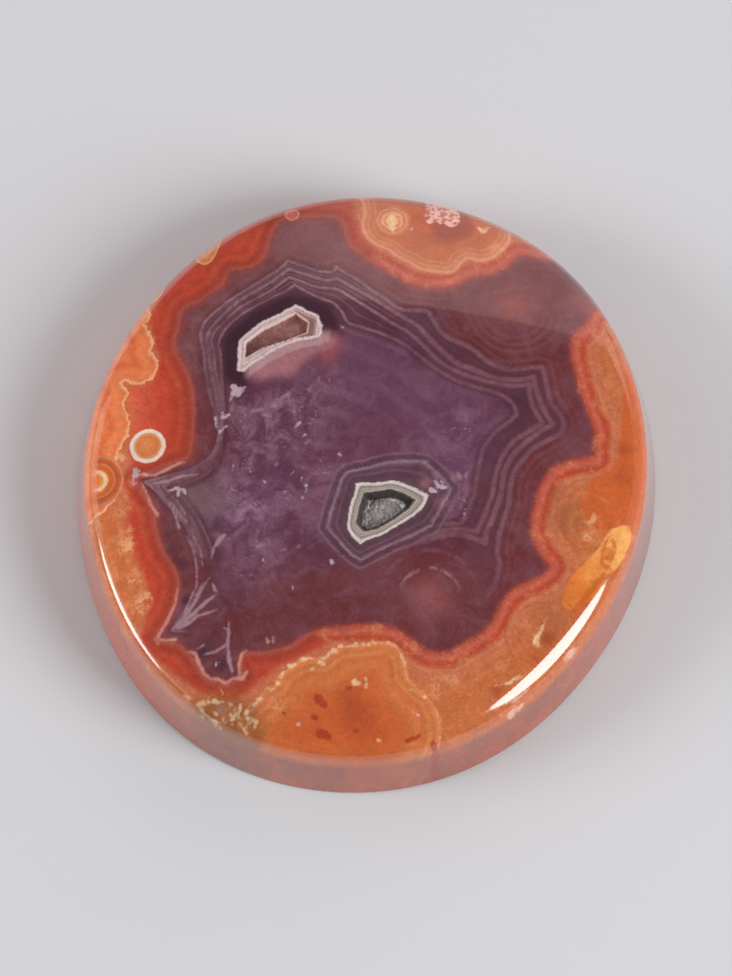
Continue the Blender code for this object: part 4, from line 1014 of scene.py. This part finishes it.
between_lines = agate.times(agate.step(depths[0], -0.3, 0.0), agate.step(depths[3], 0.4, 0.1), shown)
purple = agate.over(purple, (82, 44, 58), between_lines, 0.6)
line_colour = agate.over((140, 98, 108), (152, 114, 124), leftward)
rightward = agate.times(agate.rest(leftward), shown)
for depth in depths[:3]:
    glow_band = agate.band(agate.sum("SUBTRACT", depth, 0.06), 0.10, 0.22)
    purple = agate.over(purple, (122, 74, 82), agate.times(glow_band, rightward), 0.32)
for depth, half_width, strength in (
        (depths[0], 0.085, 0.80), (depths[1], 0.09, 0.85), (depths[2], 0.075, 0.80), (depths[3], 0.07, 0.70),
        (halves[0], 0.045, 0.36), (halves[1], 0.04, 0.34), (halves[2], 0.04, 0.34)):
    softened = agate.times(agate.scaled(sugar_wave, 0.10, depth), spread)
    here = agate.times(agate.band(softened, half_width, 0.09), lit)
    if half_width < 0.05:
        here = agate.times(here, agate.scaled(leftward, 0.75, 0.25))
    purple = agate.over(purple, line_colour, here, strength)
outside = agate.scaled(wave, 0.5, agate.sum("ADD", agate.field("line_1"), 0.45))
purple = agate.over(purple, (134, 84, 92), agate.times(agate.band(outside, 0.06, 0.10), lit), 0.4)
outermost = agate.scaled(wave, 0.5, agate.sum("ADD", agate.field("line_1"), 0.8))
purple = agate.over(purple, (126, 74, 80), agate.times(agate.band(outermost, 0.06, 0.12), lit), 0.35)
speckled = agate.times(agate.step(agate.mottle(0.16, 2, 0.5), 0.60, 0.72),
                       agate.step(agate.mottle(1.4, 3), 0.46, 0.62))
speck_place = agate.step(agate.field("pale_cloud"), 0.02, 0.4)
purple = agate.over(purple, (178, 148, 170), agate.times(speckled, speck_place), 0.55)
flecks = agate.wobbled("blush_flecks", fine_wave, 0.20)
purple = agate.over(purple, (186, 146, 162), agate.step(flecks, -0.10, 0.10), 0.5)
streaks = agate.wobbled("streaks", fine_wave, 0.12)
purple = agate.over(purple, (170, 136, 146), agate.step(streaks, -0.06, 0.06), 0.8)

# Arcs round the two glows of the heart: over the lower one, and under the one at the far right. Rounds like
# these wobble a little or a lot.
SMALL_WOBBLE = 0.10
LARGE_WOBBLE = 0.3
lower_glow = agate.scaled(wave, 0.5, agate.away(3.15, -7.3, fine_wave, SMALL_WOBBLE))
over_glow = agate.step(agate.along("Y"), -7.0 * MM, -6.0 * MM)
arc_grain = agate.step(agate.mottle(0.5, 3, 0.6), 0.36, 0.60)
for radius, half_width, softness, colour, strength in (
        (1.55, 0.08, 0.12, (158, 110, 116), 0.85), (2.45, 0.10, 0.2, (128, 78, 90), 0.65)):
    arc = agate.band(agate.sum("SUBTRACT", lower_glow, radius), half_width, softness)
    purple = agate.over(purple, colour, agate.times(arc, over_glow, arc_grain), strength)
far_glow = agate.scaled(wave, 0.9, agate.away(7.4, 8.2, fine_wave, SMALL_WOBBLE))
under_glow = agate.step(agate.along("Y"), 8.4 * MM, 7.2 * MM)
for radius, strength in ((1.55, 0.45), (1.95, 0.5), (2.35, 0.45)):
    arc = agate.times(agate.band(agate.sum("SUBTRACT", far_glow, radius), 0.07, 0.16), under_glow)
    purple = agate.over(purple, (132, 76, 82), arc, strength)

# Painted light: the orange is painted up to a quarter lighter towards the left edge.
leftmost = agate.step(agate.along("X"), -8.5 * MM, -13 * MM)
painted_light_left = agate.add("ShaderNodeVectorMath", orange, operation="SCALE")
agate.put(painted_light_left.inputs["Scale"], agate.scaled(leftmost, 0.24, 1.02))
stone_colour = agate.over(painted_light_left.outputs["Vector"], purple, agate.step(into_red, 0.17, -0.17))
lower_right = agate.scaled(wave, 0.8, agate.away(8.8, -8.8, fine_wave, SMALL_WOBBLE))
in_orange = agate.times(agate.step(into_red, 0.25, 0.5), arc_grain)
for radius, width, strength in ((1.95, 0.05, 0.45), (1.6, 0.04, 0.3), (1.3, 0.05, 0.3), (1.0, 0.04, 0.3)):
    ring = agate.times(agate.band(agate.sum("SUBTRACT", lower_right, radius), width, 0.06), in_orange)
    stone_colour = agate.over(stone_colour, (162, 74, 36), ring, strength)
right_eye = agate.away(10.9, -3.2, fine_wave, LARGE_WOBBLE)
for radius, colour, strength in (
        (0.75, (204, 130, 84), 0.35), (1.2, (150, 80, 44), 0.3), (1.65, (206, 128, 80), 0.35)):
    ring = agate.times(agate.band(agate.sum("SUBTRACT", right_eye, radius), 0.10, 0.14), in_orange)
    stone_colour = agate.over(stone_colour, colour, ring, strength)

# The rings round the middle hollow, cream at its mouth, and the white rim of the upper one. At the middle
# hollow's very edge and down its wall the rings turn nearly black: partly a dark brown line, partly painted
# shade.
rings = agate.scaled(sugar_wave, 0.18, agate.wobbled("middle_rings", fine_wave, 0.14))
ring_colours = agate.ramp(rings, [
    (-0.6, 104, 66, 80), (-0.42, 132, 104, 120), (-0.30, 90, 56, 70), (-0.12, 86, 54, 68),
    (0.0, 152, 128, 140), (0.14, 104, 76, 88), (0.30, 84, 56, 68), (0.42, 108, 84, 94), (0.54, 78, 54, 64),
    (0.80, 84, 64, 72), (0.92, 88, 72, 76), (1.0, 206, 194, 188), (1.14, 216, 206, 198),
    (1.26, 158, 146, 140), (1.40, 134, 122, 116), (1.52, 178, 166, 158), (1.62, 142, 130, 124),
    (1.74, 188, 178, 170), (1.88, 112, 100, 94), (2.0, 58, 48, 46)])
in_rings = agate.times(agate.step(rings, -0.6, -0.35), agate.scaled(uneven, 0.6, 0.4))
ring_strength = agate.sum("MAXIMUM", agate.step(rings, 0.84, 0.95), agate.times(in_rings, 0.8))
stone_colour = agate.over(stone_colour, ring_colours, ring_strength)
blush_side = agate.step(agate.sum("ADD", agate.field("blush"), wave), 0.5, 1.0)
blush_side = agate.times(blush_side, agate.step(rings, 0.95, 0.85))
stone_colour = agate.over(stone_colour, (168, 112, 118), blush_side, 0.6)
rim_depth = agate.scaled(sugar_wave, 0.12, agate.wobbled("upper_rim", fine_wave, 0.16))
rim_colour = agate.ramp(rim_depth, [
    (-0.10, 140, 104, 112), (0.0, 212, 192, 194), (0.08, 222, 204, 204), (0.15, 186, 156, 156),
    (0.22, 214, 192, 190), (0.34, 196, 170, 166)])
stone_colour = agate.over(stone_colour, rim_colour, agate.step(rim_depth, -0.10, -0.01))
below_rim = agate.times(agate.band(agate.sum("ADD", rim_depth, 0.22), 0.22, 0.2),
                        agate.step(agate.field("blush"), 0.1, 0.6))
stone_colour = agate.over(stone_colour, (196, 164, 168), below_rim, 0.5)

# Eyes: round spots with rings, each drawn by the distance from its middle.
ring_spot = agate.away(-10.9, 0.95, fine_wave, SMALL_WOBBLE)
ring_spot_colour = agate.ramp(ring_spot, [
    (0.0, 222, 140, 82), (0.52, 216, 126, 72), (0.66, 222, 150, 104), (0.74, 236, 212, 194),
    (0.86, 238, 218, 204), (0.95, 214, 110, 76)])
stone_colour = agate.over(stone_colour, ring_spot_colour, agate.step(ring_spot, 0.95, 0.90))
edge_eye = agate.away(-13.45, -0.7, fine_wave, SMALL_WOBBLE)
toward_middle = agate.step(agate.along("X"), -13.7 * MM, -13.2 * MM)
edge_eye_colour = agate.ramp(edge_eye, [
    (0.0, 226, 110, 40), (0.20, 232, 132, 54), (0.34, 232, 150, 74), (0.42, 238, 206, 168),
    (0.54, 236, 200, 160), (0.62, 216, 112, 46), (0.80, 210, 98, 44), (0.90, 214, 132, 86),
    (1.0, 196, 84, 44), (1.2, 206, 104, 62), (1.32, 216, 144, 104), (1.44, 206, 92, 58)])
stone_colour = agate.over(stone_colour, edge_eye_colour,
                          agate.times(agate.step(edge_eye, 1.44, 1.34), toward_middle))
pale_eye = agate.away(1.3, 13.2, fine_wave, LARGE_WOBBLE)
pale_eye_colour = agate.ramp(pale_eye, [
    (0.0, 226, 168, 114), (0.24, 234, 184, 136), (0.36, 206, 126, 80), (0.5, 226, 164, 120),
    (0.60, 196, 112, 72), (0.72, 214, 142, 100), (0.82, 194, 110, 70), (0.95, 206, 126, 84)])
stone_colour = agate.over(stone_colour, pale_eye_colour, agate.step(pale_eye, 0.95, 0.85))
small_eye = agate.away(-3.75, 13.65, fine_wave, SMALL_WOBBLE)
small_eye_colour = agate.ramp(small_eye, [
    (0.0, 206, 108, 92), (0.24, 200, 100, 84), (0.32, 218, 140, 124), (0.42, 196, 84, 72)])
stone_colour = agate.over(stone_colour, small_eye_colour, agate.step(small_eye, 0.42, 0.36), 0.85)
for name, colour, wobble, strength in (
        ("pink_lines", (214, 148, 132), 0.12, 0.8), ("cream_marks", (234, 196, 154), 0.30, 0.8),
        ("red_flecks", (156, 44, 28), 0.45, 0.7)):
    mark = agate.step(agate.wobbled(name, fine_wave, wobble), -0.07, 0.07)
    stone_colour = agate.over(stone_colour, colour, mark, strength)
sugar_lumps = agate.step(agate.mottle(0.20, 2, 0.6), 0.44, 0.58)
sugar = agate.over((236, 190, 176), (200, 104, 88), sugar_lumps)
sugared = agate.times(agate.step(agate.wobbled("sugary", fine_wave, 0.5), -0.06, 0.06), upper_part)
stone_colour = agate.over(stone_colour, sugar, sugared)
quartz = agate.scaled(sugar_wave, 0.14, agate.wobbled("quartz", fine_wave, 0.24))
quartz = agate.step(quartz, -0.03, 0.08)
stone_colour = agate.over(stone_colour, (206, 186, 198), quartz, 0.72)
swirl = agate.mottle(1.0, 6, 0.68, 1.2)
graininess = agate.scaled(grain, 0.38, agate.scaled(fine_grain, 0.26, 0.33))
graininess = agate.scaled(swirl, 0.7, graininess)
grained = agate.add("ShaderNodeVectorMath", stone_colour, operation="SCALE")
agate.put(grained.inputs["Scale"], graininess)
agate.put(agate.shader.inputs["Base Color"], grained.outputs["Vector"])

# Its polish: fine pits and sugary quartz break the gloss a little, and the wall and the back are ground less
# finely.
ground_only = agate.step(agate.field("height"), 2.6, 0.4)
polish = agate.scaled(agate.step(grain, 0.45, 0.8), 0.05, 0.10)
polish = agate.sum("ADD", polish, agate.times(quartz, 0.20))
polish = agate.scaled(ground_only, 0.12, polish)
polish = agate.scaled(agate.step(agate.field("height"), 0.08, 0.02), 0.25, polish)
agate.put(agate.shader.inputs["Roughness"], polish)
agate.shader.inputs["IOR"].default_value = QUARTZ_IOR
agate.shader.inputs["Coat Weight"].default_value = 1.0
agate.put(agate.shader.inputs["Coat Roughness"], agate.scaled(ground_only, 0.10, 0.02))
agate.shader.inputs["Coat IOR"].default_value = 1.5
pits = agate.sum("ADD", agate.times(grain, 0.6), agate.times(quartz, 0.5))
pitted = agate.add("ShaderNodeBump", 0.25, 0.004 * MM)
agate.put(pitted.inputs["Height"], pits)
agate.put(agate.shader.inputs["Normal"], pitted.outputs["Normal"])
stone_mesh.materials.append(agate.material)


# The druse in the upper hollow: a crust of very small brown quartz points over its floor and the ledge at its
# right end, which thins up the walls and ends just under the polished rim.
UPPER_MOUTH = [
    (-6.07, 5.47), (-5.19, 6.03), (-4.17, 6.41), (-3.46, 6.73), (-2.96, 6.93),
    (-2.88, 7.49), (-3.55, 7.97), (-4.48, 7.43), (-5.13, 7.11), (-6.07, 6.35)]
UPPER_CENTRE = (-4.35, 6.82)
UPPER_DRUSE = 4.74
UPPER_SHELF = 5.03
CRUST_SPOKES = 216
CRUST_ROWS = 54
UNDER_ROWS = (0.5, 0.8, 1.0)
RIM_DROP = 0.04
RIM_THICKNESS = 0.10
SOLE_GAP = 0.05
WALL_REACH = 0.16
WELL_REACH = 0.14
SHELF_RELIEF = 0.4
UPPER_CRYSTALS = {"width": 0.15, "height": 0.028, "seed": 3}
# The honeycomb of crystals: the step from row to row in widths, how far a point strays, how high its tip is
# at least, how far it tilts, and how steep its sides are.
ROW_STEP = 0.87
STRAY = 0.3
LOWEST_TIP = 0.45
MOST_TILT = 0.6
SIDE_SLOPE = 1.6


def dome_height(places):
    """The dome's height in millimetres over plan places: edge + rise * (1 - across squared).

    Across is the place's distance from the middle, over that of the dome's edge in the same direction.
    """
    angle = np.arctan2(places[:, 1], places[:, 0])
    points, inward = girdle(angle)
    inset = round_the_stone(WALL_DRAFTS, angle)
    radius = round_the_stone(SHOULDER_RADII, angle)
    inset = inset + radius * (math.sin(SHOULDER_START) - math.sin(SHOULDER_END))
    edge = np.linalg.norm(points + inward * inset[:, None], axis=1)
    across = np.linalg.norm(places, axis=1) * MM / edge
    return (DOME_EDGE + DOME_RISE * (1 - across ** 2)) / MM


def eased(value):
    """0 below 0, 1 above 1, and 3 v squared - 2 v cubed between."""
    value = np.clip(value, 0, 1)
    return value ** 2 * (3 - 2 * value)


def outline_spokes(outline, centre, spokes):
    """The points where evenly turned rays from the centre cross a star-shaped outline's straight sides."""
    angle = np.arange(spokes) * 2 * math.pi / spokes
    towards = np.stack([np.cos(angle), np.sin(angle)], axis=1)
    corners = np.array(outline)
    reach = np.full(spokes, np.inf)
    for start, end in zip(corners, np.roll(corners, -1, axis=0)):
        run, first = end - start, start - centre
        turn = towards[:, 0] * run[1] - towards[:, 1] * run[0]
        turn = np.where(abs(turn) < 1e-9, 1e-9, turn)
        out = (first[0] * run[1] - first[1] * run[0]) / turn
        along = (first[0] * towards[:, 1] - first[1] * towards[:, 0]) / turn
        hit = (out > 0) & (along > -1e-9) & (along < 1 + 1e-9)
        reach = np.where(hit & (out < reach), out, reach)
    return np.array(centre) + towards * reach[:, None]


def crystal_points(places, width, height, seed):
    """Crystals as heights over plan places, and a number for each crystal.

    The height is the greatest, over an uneven honeycomb of six-sided points, of tip + tilt - slope * the
    six-sided distance from the point's axis.
    """
    chance = np.random.default_rng(seed)
    low, high = places.min(axis=0) - width, places.max(axis=0) + width
    best = np.full(len(places), -1.0)
    number = np.zeros(len(places))
    for row, y in enumerate(np.arange(low[1], high[1], width * ROW_STEP)):
        for x in np.arange(low[0] + width / 2 * (row % 2), high[0], width):
            place = np.array((x, y)) + chance.uniform(-STRAY, STRAY, 2) * width
            turn, tip, own = chance.uniform(0, math.pi / 3), chance.uniform(LOWEST_TIP, 1.0), chance.uniform()
            tilt = chance.uniform(-MOST_TILT, MOST_TILT, 2) * height / width
            gap = places - place
            sides = turn + np.arange(3) * math.pi / 3
            six_sided = abs(gap @ np.stack([np.cos(sides), np.sin(sides)])).max(axis=1)
            point = height * tip + gap @ tilt - six_sided * height / width * SIDE_SLOPE
            number = np.where(point > best, own, number)
            best = np.maximum(best, point)
    return best, number


def add_crust(name, rim, centre, top, under, fields, replaced):
    """A closed crust: rows of points from the centre to its rim over the top, and a few back underneath."""
    spokes = len(rim)
    over_shares = np.arange(1, CRUST_ROWS + 1) / CRUST_ROWS

    def spread(shares):
        """The centre, then each row of points at its share of the way to the rim."""
        rows = np.array(centre) + (rim - centre)[None] * np.array(shares)[:, None, None]
        return np.vstack([[centre], rows.reshape(-1, 2)])

    above, below = spread(over_shares), spread(UNDER_ROWS)
    points = np.vstack([np.column_stack([above, top(above)]), np.column_stack([below, under(below)])]) * MM
    around = np.arange(spokes)
    after = (around + 1) % spokes

    def rows_of_faces(first, rows):
        """A fan round the centre and the quads between the rows, anticlockwise from above."""
        fan = [(first, first + 1 + a, first + 1 + b) for a, b in zip(around.tolist(), after.tolist())]
        start = first + 1 + np.arange(rows - 1)[:, None] * spokes
        corners = [start + around, start + spokes + around, start + spokes + after, start + after]
        return fan, np.stack(corners, axis=-1).reshape(-1, 4)

    fan, quads = rows_of_faces(0, CRUST_ROWS)
    under_fan, under_quads = rows_of_faces(len(above), len(UNDER_ROWS))
    rim_first = 1 + (CRUST_ROWS - 1) * spokes
    under_first = len(above) + 1 + (len(UNDER_ROWS) - 1) * spokes
    edge = [rim_first + around, under_first + around, under_first + after, rim_first + after]
    faces = fan + quads.tolist() + [face[::-1] for face in under_fan]
    faces += under_quads[:, ::-1].tolist() + np.stack(edge, axis=-1).tolist()
    mesh = bpy.data.meshes.new(name)
    mesh.from_pydata(points, [], faces)
    mesh.shade_flat()
    for field, values in fields(above, below).items():
        mesh.attributes.new(field, "FLOAT", "POINT").data.foreach_set("value", values.astype(np.float32))
    crust = bpy.data.objects.new(name, mesh)
    scene.collection.objects.link(crust)
    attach(crust, "root")
    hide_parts(replaced)
    return mesh


def under_crust(outline, sole):
    """The underside's height: just over the hollow's sole, rising beside the walls to just under the rim."""
    def height(places):
        """rim * (1 - wall) + sole * wall, where wall goes from 0 at the rim to 1 over the wall's reach."""
        wall = eased(depth_within(places, outline, smooth=False) / WALL_REACH)
        return (dome_height(places) - RIM_DROP - RIM_THICKNESS) * (1 - wall) + (sole / MM + SOLE_GAP) * wall
    return height


def upper_top(places):
    """The druse's floor and shelf with their crystals, eased up to the rim over the wall's reach."""
    well = eased(depth_within(places, UPPER_MOUTH, smooth=False) / WELL_REACH)
    wall = eased(depth_within(places, UPPER_LEDGE, smooth=False) / WALL_REACH)
    relief = crystal_points(places, **UPPER_CRYSTALS)[0] * (SHELF_RELIEF + (1 - SHELF_RELIEF) * well)
    base = UPPER_SHELF * (1 - well) + UPPER_DRUSE * well + relief
    return (dome_height(places) - RIM_DROP) * (1 - wall) + base * wall


def upper_fields(above, below):
    """The depths inside the well's mouth and the rim, and the crystals' numbers."""
    places = np.vstack([above, below])
    return {"mouth": depth_within(places, UPPER_MOUTH, smooth=False),
            "rim": depth_within(places, UPPER_LEDGE, smooth=False),
            "crystal": crystal_points(places, **UPPER_CRYSTALS)[1]}


upper_rim = outline_spokes(UPPER_LEDGE, UPPER_CENTRE, CRUST_SPOKES)
upper_mesh = add_crust("upper_crystal_lining", upper_rim, UPPER_CENTRE, upper_top,
                       under_crust(UPPER_LEDGE, UPPER_SOLE), upper_fields,
                       "upper_hollow_crust")
druse = Paint("brown_druse")
druse_colour = druse.ramp(druse.field("crystal"), [
    (0.0, 150, 102, 96), (0.5, 158, 110, 104), (1.0, 170, 124, 118)])
druse_colour = druse.over(druse_colour, (128, 76, 66), druse.step(druse.mottle(0.9, 3), 0.42, 0.68), 0.7)
druse_colour = druse.over(druse_colour, (184, 144, 134), druse.step(druse.field("mouth"), 0.02, -0.04), 0.7)
pale_edge = druse.sum("SUBTRACT", druse.field("mouth"), 0.03)
pale_edge = druse.scaled(druse.mottle(0.2, 2), 0.06, pale_edge)
druse_colour = druse.over(druse_colour, (228, 208, 204), druse.band(pale_edge, 0.045, 0.05), 0.85)
druse_colour = druse.over(druse_colour, (206, 184, 184), druse.step(druse.field("rim"), 0.07, 0.02), 0.85)
flecked = druse.step(druse.mottle(0.24, 2), 0.66, 0.74)
druse_colour = druse.over(druse_colour, (200, 160, 156), flecked, 0.5)
druse.put(druse.shader.inputs["Base Color"], druse_colour)
druse.put(druse.shader.inputs["Roughness"], druse.scaled(druse.field("crystal"), 0.3, 0.28))
druse.shader.inputs["IOR"].default_value = QUARTZ_IOR
upper_mesh.materials.append(druse.material)


# The druse in the middle hollow: coarser grey quartz points on its floor, under short steep walls that are
# painted dark, partly their own dark brown and partly painted shade. A few white spots on the points are
# painted glints.
MIDDLE_CENTRE = (0.85, -2.72)
MIDDLE_DRUSE = 5.42
MIDDLE_CRYSTALS = {"width": 0.24, "height": 0.07, "seed": 8}
# Painted glints: white spots where crystal faces catch the light, each (x, y, reach).
PAINTED_GLINTS = ((1.75, -2.45, 0.12), (0.12, -2.56, 0.08), (1.35, -2.15, 0.07), (0.35, -3.5, 0.06))


def middle_top(places):
    """The druse's floor with its crystals, eased up to the rim over the wall's reach."""
    wall = eased(depth_within(places, MIDDLE_MOUTH, smooth=False) / WALL_REACH)
    relief = crystal_points(places, **MIDDLE_CRYSTALS)[0]
    return (dome_height(places) - RIM_DROP) * (1 - wall) + (MIDDLE_DRUSE + relief) * wall


def middle_fields(above, below):
    """The depth inside the mouth, and the crystals' numbers."""
    places = np.vstack([above, below])
    return {"rim": depth_within(places, MIDDLE_MOUTH, smooth=False),
            "crystal": crystal_points(places, **MIDDLE_CRYSTALS)[1]}


middle_rim = outline_spokes(MIDDLE_MOUTH, MIDDLE_CENTRE, CRUST_SPOKES)
middle_mesh = add_crust("middle_crystal_lining", middle_rim, MIDDLE_CENTRE, middle_top,
                        under_crust(MIDDLE_MOUTH, MIDDLE_SOLE), middle_fields,
                        "middle_hollow_crust")
grey = Paint("grey_druse")
grey_colour = grey.ramp(grey.field("crystal"), [
    (0.0, 136, 130, 128), (0.6, 152, 146, 144), (1.0, 178, 172, 170)])
grey_colour = grey.over(grey_colour, (184, 178, 170), grey.step(grey.mottle(0.14, 2, 0.6), 0.60, 0.72), 0.4)
# The walls painted dark: partly their own dark brown, partly painted shade.
dark_wall_and_shade = grey.scaled(grey.mottle(0.4, 2), 0.10, grey.field("rim"))
grey_colour = grey.over(grey_colour, (56, 46, 44), grey.step(dark_wall_and_shade, 0.30, 0.20), 0.92)
# Painted glints: white spots for crystal faces that catch the light.
for x, y, reach in PAINTED_GLINTS:
    gap = grey.away(x, y, grey.mottle(0.12, 2), SMALL_WOBBLE)
    grey_colour = grey.over(grey_colour, (240, 234, 228), grey.step(gap, reach + 0.06, reach), 0.95)
grey.put(grey.shader.inputs["Base Color"], grey_colour)
grey.put(grey.shader.inputs["Roughness"], grey.scaled(grey.field("crystal"), 0.3, 0.24))
grey.shader.inputs["IOR"].default_value = QUARTZ_IOR
middle_mesh.materials.append(grey.material)
